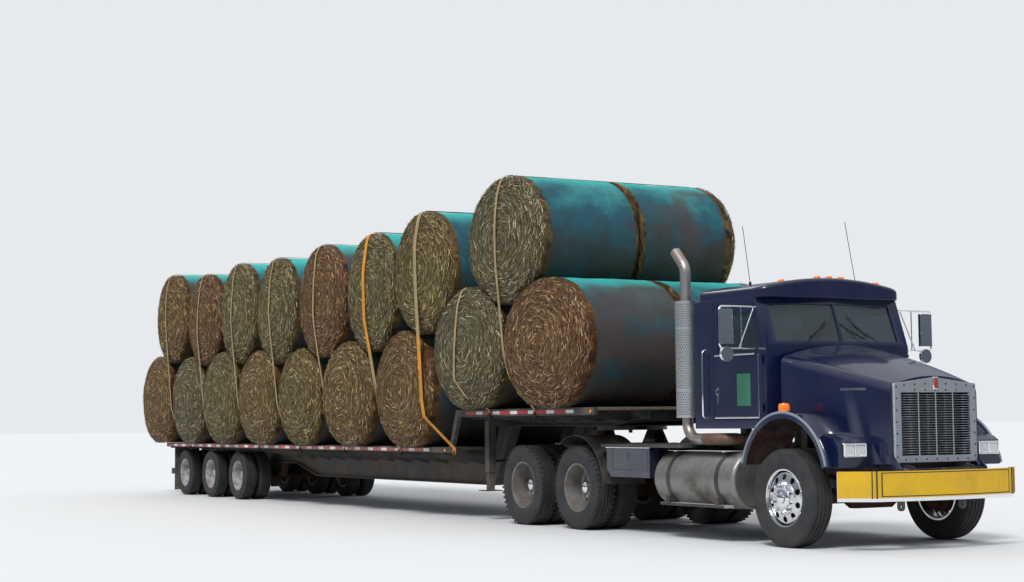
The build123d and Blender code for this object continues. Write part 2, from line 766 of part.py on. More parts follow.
pane_h = sqrt(SCREEN_LEAN**2 + (CAB_TOP - SCREEN_FOOT) ** 2)


def pane(side, gap):
    """A windscreen pane's outline on its own plane, drawn in by the gap."""
    low = SCREEN_SILL + gap
    high = pane_h - SCREEN_HEAD - gap
    inner = SCREEN_POST / 2 + gap
    outer = SCREEN_HALF_W - gap
    with Locations(((inner + outer) / 2, side * (low + high) / 2)):
        Rectangle(outer - inner, high - low)


hinge_x = STEER_X + DOOR_FRONT
hinge_y = CAB_HALF_W + HINGE_STAND + HINGE_BARREL_R


def hinge_leaf(end, side, foot, height):
    """A barrel on the hinge's axis and the leaf that holds it, toward the front or the rear."""
    with BuildPart() as leaf:
        with BuildSketch(Plane.XY.offset(foot)):
            with Locations((hinge_x, side * hinge_y)):
                Circle(HINGE_BARREL_R)
            leaf_x = hinge_x + end * (HINGE_LEAF / 2 + 1.5 * DOOR_GAP)
            with Locations((leaf_x, side * (hinge_y - HINGE_BARREL_R))):
                Rectangle(HINGE_LEAF, 2 * HINGE_BARREL_R)
        extrude(amount=height)
    return leaf.part


REAR_WINDOW_W = 1100
REAR_WINDOW_H = 380
REAR_WINDOW_Z = 2310
with BuildPart() as cab_shell:
    add(cab_form(0))
    add(cab_form(CAB_WALL), mode=Mode.SUBTRACT)
    with BuildSketch(Plane.XZ):
        with BuildLine():
            Polyline(*door_outline(0), close=True)
        make_face()
    extrude(amount=CAB_HALF_W, both=True, mode=Mode.SUBTRACT)
    for _, side in SIDES:
        with BuildSketch(screen_plane(side)):
            pane(side, 0)
        extrude(amount=2 * CAB_WALL, both=True, mode=Mode.SUBTRACT)
    with BuildSketch(Plane.YZ.offset(STEER_X + CAB_REAR)):
        with Locations((0, REAR_WINDOW_Z)):
            RectangleRounded(REAR_WINDOW_W, REAR_WINDOW_H, 60)
    extrude(amount=CAB_WALL, mode=Mode.SUBTRACT)
    for _, side in SIDES:
        for hinge_z in HINGE_ZS:
            lug_out = HINGE_BARREL_H / 2 + THRUST
            for foot in (hinge_z - lug_out - HINGE_LUG_H, hinge_z + lug_out):
                add(hinge_leaf(1, side, foot, HINGE_LUG_H))
            with Locations((hinge_x, side * hinge_y, hinge_z)):
                Cylinder(HINGE_PIN_R, HINGE_BARREL_H + 2 * HINGE_LUG_H)
cab_shell.part.label = "cab_shell"
export_step(cab_shell.part, "parts/cab_shell.step")

with BuildPart() as cab_glass:
    for _, side in SIDES:
        with BuildSketch(screen_plane(side).offset(-CAB_WALL / 2)):
            pane(side, SEAT)
        extrude(amount=GLASS_T)
    with BuildSketch(Plane.YZ.offset(STEER_X + CAB_REAR + CAB_WALL / 2)):
        with Locations((0, REAR_WINDOW_Z)):
            RectangleRounded(REAR_WINDOW_W - 2 * SEAT, REAR_WINDOW_H - 2 * SEAT, 60 - SEAT)
    extrude(amount=GLASS_T)
cab_glass.part.label = "cab_glass"
export_step(cab_glass.part, "parts/cab_glass.step")

# Cab mounts: four posts from the rails up to the cab's floor.
CAB_MOUNT_XS = (-560, -1640)
CAB_MOUNT_L = 110
with BuildPart() as cab_mounts:
    for mount_x in CAB_MOUNT_XS:
        for _, side in SIDES:
            with BuildSketch(Plane.XY.offset(RAIL_TOP + SEAT)):
                with Locations((STEER_X + mount_x, side * (RAIL_OUT - RAIL_FLANGE / 2))):
                    Rectangle(CAB_MOUNT_L, RAIL_FLANGE)
            extrude(amount=CAB_FLOOR - RAIL_TOP - 2 * SEAT)
cab_mounts.part.label = "cab_mounts"
export_step(cab_mounts.part, "parts/cab_mounts.step")

# Roof: a cap crowned from side to side with rounded corners. Its brow stands ahead of the screen.
roof_front = STEER_X + CAB_NOSE - SCREEN_LEAN
roof_rear = STEER_X + CAB_REAR
roof_foot = CAB_TOP + SEAT
crown_r = (CAB_HALF_W**2 + (ROOF_CROWN - ROOF_EDGE) ** 2) / (2 * (ROOF_CROWN - ROOF_EDGE))
crown_centre = roof_foot + ROOF_CROWN - crown_r
with BuildPart() as cab_roof:
    with BuildSketch(Plane.YZ.offset(roof_rear)):
        with BuildLine():
            Polyline(
                (-CAB_HALF_W, roof_foot + ROOF_EDGE),
                (-CAB_HALF_W, roof_foot),
                (CAB_HALF_W, roof_foot),
                (CAB_HALF_W, roof_foot + ROOF_EDGE),
            )
            ThreePointArc(
                (CAB_HALF_W, roof_foot + ROOF_EDGE),
                (0, roof_foot + ROOF_CROWN),
                (-CAB_HALF_W, roof_foot + ROOF_EDGE),
            )
        make_face()
    extrude(amount=roof_front + BROW - roof_rear)
    fillet(cab_roof.edges().filter_by(Axis.Z), ROOF_CORNER)
    fillet(cab_roof.faces().filter_by(GeomType.CYLINDER).sort_by(SortBy.AREA)[-1].edges(), ROOF_ROUND)
    with BuildSketch(Plane.XY.offset(roof_foot)):
        with Locations(((roof_front + roof_rear) / 2, 0)):
            Rectangle(roof_front - roof_rear - 2 * ROOF_RIM, 2 * (CAB_HALF_W - ROOF_RIM))
    extrude(amount=ROOF_LINING, mode=Mode.SUBTRACT)
cab_roof.part.label = "cab_roof"
export_step(cab_roof.part, "parts/cab_roof.step")

# Roof lamps: five amber markers along the brow, each square to the crown that it sits on.
ROOF_LAMP_R = 32
ROOF_LAMP_H = 30
ROOF_LAMP_TAPER = 15
ROOF_LAMP_YS = (-666, -165, 0, 165, 666)
ROOF_LAMP_X = -600
with BuildPart() as roof_lamps:
    for y in ROOF_LAMP_YS:
        lean = y / crown_r
        foot = Vector(0, lean, sqrt(1 - lean**2))
        seat_point = Vector(STEER_X + ROOF_LAMP_X, 0, crown_centre) + foot * (crown_r + SEAT)
        with BuildSketch(Plane(origin=seat_point, x_dir=(1, 0, 0), z_dir=foot)):
            Circle(ROOF_LAMP_R)
        extrude(amount=ROOF_LAMP_H, taper=ROOF_LAMP_TAPER)
roof_lamps.part.label = "roof_lamps"
export_step(roof_lamps.part, "parts/roof_lamps.step")

# Inside the cab: a dashboard with the steering column and wheel, and two seats on their boxes.
WHEEL_RIM_R = 230
WHEEL_TUBE_R = 14
DASH_TOP = 1960
DASH_DEPTH = 330
DASH_REAR = STEER_X + CAB_NOSE - CAB_V - CAB_WALL - DASH_DEPTH
DASH_HALF_W = 895
DRIVER_Y = 480
dash_front = (
    STEER_X + CAB_NOSE - CAB_V * DASH_HALF_W / (CAB_HALF_W - CAB_WALL) - CAB_WALL - SEAT
)
with BuildPart() as dashboard:
    with BuildSketch(Plane.XZ):
        with BuildLine():
            Polyline(
                (dash_front, DASH_TOP - 320),
                (dash_front, DASH_TOP + 30),
                (DASH_REAR + 90, DASH_TOP),
                (DASH_REAR, DASH_TOP - 60),
                (DASH_REAR + 60, DASH_TOP - 260),
                close=True,
            )
        make_face()
    extrude(amount=DASH_HALF_W, both=True)
    column = Plane(
        origin=(DASH_REAR + 60, DRIVER_Y, DASH_TOP - 150), x_dir=(0, 1, 0), z_dir=(-1, 0, 0.75)
    )
    with BuildSketch(column):
        Circle(28)
    extrude(amount=230)
    with BuildSketch(column.offset(215)):
        Circle(WHEEL_RIM_R)
        Circle(WHEEL_RIM_R - 2 * WHEEL_TUBE_R, mode=Mode.SUBTRACT)
        Rectangle(2 * WHEEL_RIM_R - WHEEL_TUBE_R, 50)
        Rectangle(60, 2 * WHEEL_RIM_R - WHEEL_TUBE_R)
    extrude(amount=2 * WHEEL_TUBE_R)
dashboard.part.label = "dashboard"
export_step(dashboard.part, "parts/dashboard.step")

SEAT_FRONT = -1010
SEAT_REAR = -1530
SEAT_HALF_W = 250
with BuildPart() as seats:
    for _, side in SIDES:
        with BuildSketch(outward(STEER_X, DRIVER_Y - SEAT_HALF_W, 0, side)):
            with BuildLine():
                outline = [
                    (SEAT_FRONT - 60, floor_z + SEAT),
                    (SEAT_FRONT, floor_z + 300),
                    (SEAT_FRONT, floor_z + 430),
                    (SEAT_REAR + 170, floor_z + 410),
                    (SEAT_REAR + 60, floor_z + 1090),
                    (SEAT_REAR - 60, floor_z + 1090),
                    (SEAT_REAR, floor_z + 300),
                    (SEAT_REAR + 60, floor_z + SEAT),
                ]
                Polyline(*[(x, -side * z) for x, z in outline], close=True)
            make_face()
        extrude(amount=2 * SEAT_HALF_W)
seats.part.label = "seats"
export_step(seats.part, "parts/seats.step")

# Doors: as thick as the cab's wall, hung at their front edges, with the window cut through.
# The glass sits in the frame. Each door carries a tubular mirror frame and its tall mirror head.
MIRROR_HEAD = 2500
MIRROR_FOOT = 2130
MIRROR_W = 170
MIRROR_D = 60
MIRROR_X = -620
MIRROR_TUBE_R = 10
MIRROR_ARM_TOP = 2530
MIRROR_ARM_FOOT = 2080
MIRROR_OUT = 1500
ROUND_MIRROR_R = 80
ROUND_MIRROR_T = 34
ROUND_MIRROR_Y = 1400
for side_name, side in SIDES:
    with BuildPart() as door:
        with BuildSketch(outward(0, CAB_HALF_W - CAB_WALL, 0, side)):
            with BuildLine():
                Polyline(*[(x, -side * z) for x, z in door_outline(DOOR_GAP)], close=True)
            make_face()
            with BuildLine():
                Polyline(*[(x, -side * z) for x, z in window_outline(0)], close=True)
            make_face(mode=Mode.SUBTRACT)
        extrude(amount=CAB_WALL)
        for hinge_z in HINGE_ZS:
            add(hinge_leaf(-1, side, hinge_z - HINGE_BARREL_H / 2, HINGE_BARREL_H))
            with Locations((hinge_x, side * hinge_y, hinge_z)):
                Cylinder(HINGE_PIN_R + RUN, HINGE_BARREL_H, mode=Mode.SUBTRACT)
    door.part.label = f"door_{side_name}"
    export_step(door.part, f"parts/door_{side_name}.step")

    with BuildPart() as door_glass:
        with BuildSketch(outward(0, CAB_HALF_W - CAB_WALL / 2, 0, side)):
            with BuildLine():
                Polyline(*[(x, -side * z) for x, z in window_outline(SEAT)], close=True)
            make_face()
        extrude(amount=GLASS_T)
    door_glass.part.label = f"door_glass_{side_name}"
    export_step(door_glass.part, f"parts/door_glass_{side_name}.step")

    bar_x = STEER_X + MIRROR_X
    door_y = side * (CAB_HALF_W + SEAT)
    out_y = side * (MIRROR_OUT - MIRROR_TUBE_R)
    loop = [
        (bar_x, door_y, MIRROR_ARM_TOP),
        (bar_x, out_y, MIRROR_ARM_TOP),
        (bar_x, out_y, MIRROR_ARM_FOOT),
        (bar_x, door_y, MIRROR_ARM_FOOT),
    ]
    with BuildPart() as mirrors:
        add(tube(loop, MIRROR_TUBE_R, 5 * MIRROR_TUBE_R))
        with BuildSketch(Plane.XY.offset(MIRROR_FOOT)):
            with Locations((bar_x, out_y - side * MIRROR_W / 2)):
                RectangleRounded(MIRROR_D, MIRROR_W, MIRROR_D / 3)
        extrude(amount=MIRROR_HEAD - MIRROR_FOOT)
        with BuildSketch(Plane.YZ.offset(bar_x - ROUND_MIRROR_T / 2)):
            with Locations((side * ROUND_MIRROR_Y, MIRROR_ARM_FOOT - ROUND_MIRROR_R + 20)):
                Circle(ROUND_MIRROR_R)
        extrude(amount=ROUND_MIRROR_T)
    mirrors.part.label = f"mirrors_{side_name}"
    export_step(mirrors.part, f"parts/mirrors_{side_name}.step")

# Hood: a hollow loft from the cowl to the grille with the wheel arches cut out of its sides, the
# fenders and lamp nacelles made in one with it. It tilts forward about the pins at its foot.
ARCH_INNER = ARCH_R - ARCH_WALL


def hood_section(x, half_w, edge, crown, inset, foot):
    """Half of this is the hood's side, the corner and the crown, mirrored to the other side."""
    corner = HOOD_CORNER - inset
    w = half_w - inset
    edge = edge - inset
    crown = crown - inset
    lean = corner * (1 - cos(radians(45)))
    with BuildSketch(Plane.YZ.offset(STEER_X + x)) as section:
        with BuildLine():
            Polyline((-w, edge - corner), (-w, foot), (w, foot), (w, edge - corner))
            ThreePointArc((w, edge - corner), (w - lean, edge - lean), (w - corner, edge))
            ThreePointArc((w - corner, edge), (0, crown), (corner - w, edge))
            ThreePointArc((corner - w, edge), (lean - w, edge - lean), (-w, edge - corner))
        make_face()
    return section.sketch


def hood_form(inset, foot):
    """The hood's outer form, or the room under it, which runs out at the back."""
    sections = []
    for x, half_w, edge, crown in HOOD_SECTIONS:
        if inset and x == HOOD_REAR:
            x = x - inset
        if inset and x == HOOD_FRONT:
            x = x - inset
        sections.append(hood_section(x, half_w, edge, crown, inset, foot))
    return loft(sections)


def arch(radius, thickness, first, last, side):
    """A curved strip of the wheel arch between two angles, on a plane across the lorry."""
    with BuildSketch(outward(0, 0, 0, side)) as strip:
        with BuildLine():
            rims = [
                [
                    (
                        STEER_X + ARCH_X + r * cos(radians(angle)),
                        -side * (ARCH_Z + r * sin(radians(angle))),
                    )
                    for angle in (first, (first + last) / 2, last)
                ]
                for r in (radius, radius - thickness)
            ]
            ThreePointArc(*rims[0])
            Line(rims[0][2], rims[1][2])
            ThreePointArc(*reversed(rims[1]))
            Line(rims[1][0], rims[0][0])
        make_face()
    return strip.sketch


# inner face, thickness, width
FENDER_STRIPS = (
    (FENDER_IN, ARCH_WALL, FENDER_OUT - FENDER_IN),
    (FENDER_OUT - FENDER_EDGE, FENDER_LIP, FENDER_EDGE),
)
with BuildPart() as hood_shell:
    add(hood_form(0, HOOD_FOOT))
    add(hood_form(HOOD_WALL, HOOD_FOOT - HOOD_WALL), mode=Mode.SUBTRACT)
    with BuildSketch(Plane.YZ.offset(STEER_X + HOOD_FRONT - 2 * HOOD_WALL)):
        with Locations((0, (GRILLE_OPEN_HEAD + HOOD_FOOT - HOOD_WALL) / 2)):
            Rectangle(
                2 * (GRILLE_HALF_W - GRILLE_RIM), GRILLE_OPEN_HEAD - HOOD_FOOT + HOOD_WALL
            )
    extrude(amount=3 * HOOD_WALL, mode=Mode.SUBTRACT)
    for _, side in SIDES:
        with BuildSketch(outward(STEER_X, NACELLE_IN, 0, side)):
            with BuildLine():
                Polyline(
                    (NACELLE_REAR, -side * NACELLE_FOOT),
                    (NACELLE_FRONT, -side * NACELLE_FOOT),
                    (NACELLE_FRONT, -side * (NACELLE_HEAD - 40)),
                    (NACELLE_FRONT - 60, -side * NACELLE_HEAD),
                    (NACELLE_REAR, -side * (NACELLE_HEAD + 60)),
                    close=True,
                )
            make_face()
        extrude(amount=NACELLE_OUT - NACELLE_IN)
    with BuildSketch(Plane.XZ):
        with Locations((STEER_X + ARCH_X, ARCH_Z)):
            Circle(ARCH_INNER)
    extrude(amount=FENDER_OUT, both=True, mode=Mode.SUBTRACT)
    for _, side in SIDES:
        for y_in, thickness, width in FENDER_STRIPS:
            strip = arch(ARCH_R, thickness, FENDER_FROM, FENDER_SPLIT, side)
            extrude(strip.moved(Location((0, side * y_in, 0))), amount=width, dir=(0, side, 0))
        with BuildSketch(outward(STEER_X, HOOD_EAR_Y, 0, side)):
            with BuildLine():
                outline = [
                    (HOOD_FRONT - HOOD_WALL, HOOD_FOOT + HOOD_CORNER),
                    (HOOD_PIVOT + HINGE_EYE_R, HOOD_PIVOT_Z + HINGE_EYE_R / 2),
                    (HOOD_PIVOT + HINGE_EYE_R / 2, HOOD_PIVOT_Z - HINGE_EYE_R),
                    (HOOD_PIVOT - HINGE_EYE_R, HOOD_PIVOT_Z - HINGE_EYE_R),
                    (HOOD_FRONT - HOOD_CORNER, HOOD_FOOT),
                    (HOOD_FRONT - HOOD_CORNER, HOOD_FOOT + HOOD_CORNER),
                ]
                Polyline(*[(x, -side * z) for x, z in outline], close=True)
            make_face()
            with Locations((HOOD_PIVOT, -side * HOOD_PIVOT_Z)):
                Circle(HINGE_R + RUN, mode=Mode.SUBTRACT)
        extrude(amount=HINGE_PLATE)
hood_shell.part.label = "hood_shell"
export_step(hood_shell.part, "parts/hood_shell.step")

# Fender tails: the last stretch of each fender, which stays under the cab when the hood tilts,
# with a panel that closes it to the cab's floor.
TAIL_PANEL_T = 12
with BuildPart() as fender_tails:
    for _, side in SIDES:
        for y_in, thickness, width in FENDER_STRIPS:
            strip = arch(ARCH_R, thickness, FENDER_SPLIT + 1, FENDER_TO, side)
            extrude(strip.moved(Location((0, side * y_in, 0))), amount=width, dir=(0, side, 0))
        tail_x = STEER_X + ARCH_X - (ARCH_R - ARCH_WALL / 2) * cos(radians(30))
        tail_w = CAB_HALF_W - FENDER_IN - CAB_WALL
        with BuildSketch(Plane.XY.offset(ARCH_Z + ARCH_R / 2)):
            with Locations((tail_x, side * (FENDER_IN + tail_w / 2))):
                Rectangle(TAIL_PANEL_T, tail_w)
        extrude(amount=CAB_FLOOR - SEAT - ARCH_Z - ARCH_R / 2)
fender_tails.part.label = "fender_tails"
export_step(fender_tails.part, "parts/fender_tails.step")

# Grille: a pale riveted surround with a peaked head, upright bars and rows of flat slats.
with BuildPart() as grille:
    grille_x = STEER_X + HOOD_FRONT + SEAT
    with BuildSketch(Plane.YZ.offset(grille_x)):
        with BuildLine():
            Polyline(
                (-GRILLE_HALF_W, GRILLE_FOOT),
                (GRILLE_HALF_W, GRILLE_FOOT),
                (GRILLE_HALF_W, GRILLE_SHOULDER),
                (0, GRILLE_PEAK),
                (-GRILLE_HALF_W, GRILLE_SHOULDER),
                close=True,
            )
        make_face()
        with Locations((0, (GRILLE_OPEN_HEAD + GRILLE_OPEN_FOOT) / 2)):
            Rectangle(
                2 * (GRILLE_HALF_W - GRILLE_RIM),
                GRILLE_OPEN_HEAD - GRILLE_OPEN_FOOT,
                mode=Mode.SUBTRACT,
            )
    extrude(amount=GRILLE_T)
    open_w = 2 * (GRILLE_HALF_W - GRILLE_RIM)
    open_h = GRILLE_OPEN_HEAD - GRILLE_OPEN_FOOT
    with BuildSketch(Plane.YZ.offset(grille_x + GRILLE_T / 2)):
        with Locations((0, GRILLE_OPEN_FOOT + open_h / 2)):
            with GridLocations(open_w / (GRILLE_BARS + 1), 0, GRILLE_BARS, 1):
                Rectangle(GRILLE_BAR_W, open_h)
    extrude(amount=GRILLE_T / 2)
    with BuildSketch(Plane.YZ.offset(grille_x + GRILLE_T / 2 - SLAT_DEPTH / 2)):
        with Locations((0, GRILLE_OPEN_FOOT + open_h / 2)):
            with GridLocations(0, open_h / (SLATS + 1), 1, SLATS):
                Rectangle(open_w, SLAT_T)
    extrude(amount=SLAT_DEPTH)
grille.part.label = "grille"
export_step(grille.part, "parts/grille.step")

with BuildPart() as headlamps:
    for _, side in SIDES:
        with BuildSketch(Plane.YZ.offset(STEER_X + NACELLE_FRONT + SEAT)):
            with Locations((side * LAMP_Y, LAMP_Z - 20)):
                RectangleRounded(LAMP_W, LAMP_H, 15)
        extrude(amount=LAMP_T)
headlamps.part.label = "headlamps"
export_step(headlamps.part, "parts/headlamps.step")

# Bumper: a bowed steel plate with swept ends, held by two brackets on the rails. The blank banner
# follows its bow in front.
bumper_nose = STEER_X + NOSE_REACH - BANNER_T - SEAT


def bowed(radius, depth, half_w, foot, height):
    """A curved plate about the bumper's own centre, drawn in plan and pulled up."""
    with BuildPart() as plate:
        with BuildSketch(Plane.XY.offset(foot)):
            with Locations((bow_centre, 0)):
                Circle(radius)
                Circle(radius - depth, mode=Mode.SUBTRACT)
            with Locations((bow_centre + radius, 0)):
                Rectangle(radius, 2 * half_w, mode=Mode.INTERSECT)
        extrude(amount=height)
    return plate.part


bow_radius = (BUMPER_BOW**2 + BUMPER_SHOULDER**2) / (2 * BUMPER_BOW)
bow_centre = bumper_nose - bow_radius
BRACKET_W = 90
with BuildPart() as bumper:
    add(bowed(bow_radius, BUMPER_T, BUMPER_SHOULDER, BUMPER_FOOT, BUMPER_HEAD - BUMPER_FOOT))
    rail_nose = STEER_X + RAIL_FRONT + SEAT
    bracket_y = rail_in - HINGE_PLATE - SWING - BRACKET_W / 2
    bracket_nose = bow_centre + sqrt((bow_radius - BUMPER_T / 2) ** 2 - RAIL_OUT**2)
    shoulder_x = bow_centre + sqrt(bow_radius**2 - BUMPER_SHOULDER**2)
    for _, side in SIDES:
        with BuildSketch(Plane.XY.offset(BUMPER_FOOT)):
            with BuildLine():
                Polyline(
                    (shoulder_x, side * (BUMPER_SHOULDER - BUMPER_T / 4)),
                    (shoulder_x - BUMPER_SWEEP, side * BUMPER_HALF_W),
                    (shoulder_x - BUMPER_SWEEP - BUMPER_T, side * BUMPER_HALF_W),
                    (shoulder_x - BUMPER_T, side * (BUMPER_SHOULDER - BUMPER_T / 4)),
                    close=True,
                )
            make_face()
        extrude(amount=BUMPER_HEAD - BUMPER_FOOT)
        with BuildSketch(Plane.XY.offset(BUMPER_HEAD - 60)):
            with Locations(((rail_nose + bracket_nose) / 2, side * bracket_y)):
                Rectangle(bracket_nose - rail_nose, BRACKET_W)
        extrude(amount=50)
bumper.part.label = "bumper"
export_step(bumper.part, "parts/bumper.step")

with BuildPart() as banner:
    banner_r = bow_radius + SEAT + BANNER_T
    add(bowed(banner_r, BANNER_T, BUMPER_SHOULDER + 1, BANNER_FOOT, BANNER_HEAD - BANNER_FOOT))
    sweep_l = sqrt(BUMPER_SWEEP**2 + (BUMPER_HALF_W - BUMPER_SHOULDER) ** 2)
    for _, side in SIDES:
        shoulder = Vector(shoulder_x, side * BUMPER_SHOULDER)
        tip = Vector(shoulder_x - BUMPER_SWEEP, side * BUMPER_HALF_W)
        bow_out = Vector(shoulder_x - bow_centre, side * BUMPER_SHOULDER) * (1 / bow_radius)
        sweep_out = Vector(BUMPER_HALF_W - BUMPER_SHOULDER, side * BUMPER_SWEEP) * (1 / sweep_l)
        with BuildSketch(Plane.XY.offset(BANNER_FOOT)):
            with BuildLine():
                Polyline(
                    shoulder + bow_out * SEAT,
                    shoulder + bow_out * (SEAT + BANNER_T),
                    tip + sweep_out * (SEAT + BANNER_T),
                    tip + sweep_out * SEAT,
                    close=True,
                )
            make_face()
        extrude(amount=BANNER_HEAD - BANNER_FOOT)
banner.part.label = "banner"
export_step(banner.part, "parts/banner.step")

# Fuel tanks: round drums with domed ends. Straps, a tread step above and a step bar below carry
# them on brackets from the rails.
tank_l = TANK_FRONT - TANK_REAR
with BuildPart() as fuel_tanks:
    for _, side in SIDES:
        with BuildSketch(Plane.YZ.offset(STEER_X + TANK_REAR)):
            with Locations((side * TANK_Y, TANK_Z)):
                Circle(TANK_R)
        extrude(amount=tank_l)
    fillet(fuel_tanks.edges().filter_by(GeomType.CIRCLE), TANK_EDGE)
fuel_tanks.part.label = "fuel_tanks"
export_step(fuel_tanks.part, "parts/fuel_tanks.step")

with BuildPart() as tank_straps:
    for _, side in SIDES:
        for strap_x in (TANK_REAR + STRAP_INSET, TANK_FRONT - STRAP_INSET):
            strap_r = TANK_R + SEAT
            with BuildSketch(Plane.YZ.offset(STEER_X + strap_x - STRAP_W / 2)):
                with Locations((side * TANK_Y, TANK_Z)):
                    Circle(strap_r + STRAP_T)
                with Locations((side * (RAIL_OUT + SEAT + TANK_Y) / 2, (rail_foot + RAIL_TOP) / 2)):
                    Rectangle(TANK_Y - RAIL_OUT - SEAT, RAIL_DEPTH * 0.8)
                with Locations((side * (TANK_Y + STEP_W / 2), TANK_Z + strap_r)):
                    Rectangle(STEP_W, 2 * STRAP_T)
                with Locations((side * (TANK_Y + STEP_BAR_OUT), STEP_BAR_Z + STEP_HANGER_H / 2)):
                    Rectangle(STEP_BAR_W, STEP_HANGER_H)
                with Locations((side * TANK_Y, TANK_Z)):
                    Circle(strap_r, mode=Mode.SUBTRACT)
            extrude(amount=STRAP_W)
        with BuildSketch(Plane.YZ.offset(STEER_X + TANK_REAR + STRAP_INSET / 2)):
            with Locations((side * (TANK_Y + STEP_W / 2), TANK_Z + strap_r + STRAP_T)):
                Rectangle(STEP_W, STRAP_T)
            with Locations((side * (TANK_Y + STEP_BAR_OUT), STEP_BAR_Z + STEP_BAR_T / 2)):
                Rectangle(STEP_BAR_W, STEP_BAR_T)
        extrude(amount=tank_l - STRAP_INSET)
tank_straps.part.label = "tank_straps"
export_step(tank_straps.part, "parts/tank_straps.step")

# Side boxes between the tanks and the drive wheels, the flat deck behind the cab, and the quarter
# fenders in front of the drive tyres.
with BuildPart() as side_boxes:
    for _, side in SIDES:
        with BuildSketch(outward(STEER_X, RAIL_OUT + SEAT, 0, side)):
            with BuildLine():
                Polyline(
                    (BOX_FRONT, -side * BOX_FOOT),
                    (BOX_FRONT, -side * (RAIL_TOP - 10)),
                    (BOX_REAR, -side * (RAIL_TOP - 10)),
                    (BOX_REAR, -side * (BOX_FOOT + 90)),
                    (BOX_REAR + 90, -side * BOX_FOOT),
                    close=True,
                )
            make_face()
        extrude(amount=BOX_OUT - RAIL_OUT - SEAT)
side_boxes.part.label = "side_boxes"
export_step(side_boxes.part, "parts/side_boxes.step")

with BuildPart() as catwalk:
    with Locations(
        (STEER_X + (CATWALK_FRONT + CATWALK_REAR) / 2, 0, RAIL_TOP + SEAT + CATWALK_T / 2)
    ):
        Box(CATWALK_FRONT - CATWALK_REAR, 2 * BOX_OUT, CATWALK_T)
    fillet(catwalk.edges().filter_by(Axis.Z), 60)
catwalk.part.label = "catwalk"
export_step(catwalk.part, "parts/catwalk.step")

QUARTER_R = 640
QUARTER_T = 6
QUARTER_IN = 610
QUARTER_ARC = (5, 60, 125)      # its ends and its middle, in degrees above level ahead
QUARTER_ARM_AT = 60             # where its arm from the rail meets it
QUARTER_ARM_R = 30
QUARTER_ARM_DROP = 40           # how far the arm's middle lies below the sheet
with BuildPart() as quarter_fenders:
    arm_x = QUARTER_R * cos(radians(QUARTER_ARM_AT))
    arm_z = DRIVE_TYRE_R + QUARTER_R * sin(radians(QUARTER_ARM_AT)) - QUARTER_ARM_DROP
    for _, side in SIDES:
        with BuildSketch(outward(STEER_X + DRIVE_XS[0], QUARTER_IN, DRIVE_TYRE_R, side)):
            with BuildLine():
                rims = [
                    [(r * cos(radians(at)), -side * r * sin(radians(at))) for at in QUARTER_ARC]
                    for r in (QUARTER_R, QUARTER_R - QUARTER_T)
                ]
                ThreePointArc(*rims[0])
                Line(rims[0][2], rims[1][2])
                ThreePointArc(*reversed(rims[1]))
                Line(rims[1][0], rims[0][0])
            make_face()
        extrude(amount=DRIVE_OUT - QUARTER_IN)
        with BuildSketch(outward(STEER_X + DRIVE_XS[0], RAIL_OUT + SEAT, 0, side)):
            with Locations((arm_x, -side * arm_z)):
                Circle(QUARTER_ARM_R)
        extrude(amount=DRIVE_OUT - RAIL_OUT - 3 * QUARTER_ARM_R)
quarter_fenders.part.label = "quarter_fenders"
export_step(quarter_fenders.part, "parts/quarter_fenders.step")

# Exhaust: an elbow from under the cab, the upright pipe with its turned-back end, and a
# perforated shield round it. Two arms hold it to the cab's back.
with BuildPart() as exhaust_stack:
    rise = [
        (STEER_X + STACK_X + 420, STACK_Y, STACK_FOOT - 230),
        (STEER_X + STACK_X, STACK_Y, STACK_FOOT - 230),
        (STEER_X + STACK_X, STACK_Y, STACK_TOP),
        (STEER_X + STACK_X - STACK_BEND, STACK_Y, STACK_TOP + STACK_BEND),
    ]
    add(tube(rise, STACK_R, STACK_BEND))
    for arm_z in (SHIELD_FOOT + 150, SHIELD_TOP - 150):
        with Locations((STEER_X + (STACK_X + CAB_REAR - SEAT) / 2, STACK_Y + 40, arm_z)):
            Box(CAB_REAR - SEAT - STACK_X, 30, 30)
exhaust_stack.part.label = "exhaust_stack"
export_step(exhaust_stack.part, "parts/exhaust_stack.step")

with BuildPart() as exhaust_shield:
    with BuildSketch(Plane.XY.offset(SHIELD_FOOT)):
        with Locations((STEER_X + STACK_X, STACK_Y)):
            Circle(SHIELD_R)
            Circle(SHIELD_R - SHIELD_T, mode=Mode.SUBTRACT)
    extrude(amount=SHIELD_TOP - SHIELD_FOOT)
    for ring_z in (SHIELD_FOOT + 300, SHIELD_TOP - 300):
        with BuildSketch(Plane.XY.offset(ring_z)):
            with Locations((STEER_X + STACK_X, STACK_Y)):
                Circle(SHIELD_R - SHIELD_T / 2)
                Circle(STACK_R + SEAT, mode=Mode.SUBTRACT)
        extrude(amount=10)
    with BuildSketch(Plane.YZ.offset(STEER_X + STACK_X)):
        for arm_z in (SHIELD_FOOT + 150, SHIELD_TOP - 150):
            with Locations((STACK_Y + 40, arm_z)):
                Rectangle(40, 40)
    extrude(amount=2 * SHIELD_R, mode=Mode.SUBTRACT)
exhaust_shield.part.label = "exhaust_shield"
export_step(exhaust_shield.part, "parts/exhaust_shield.step")

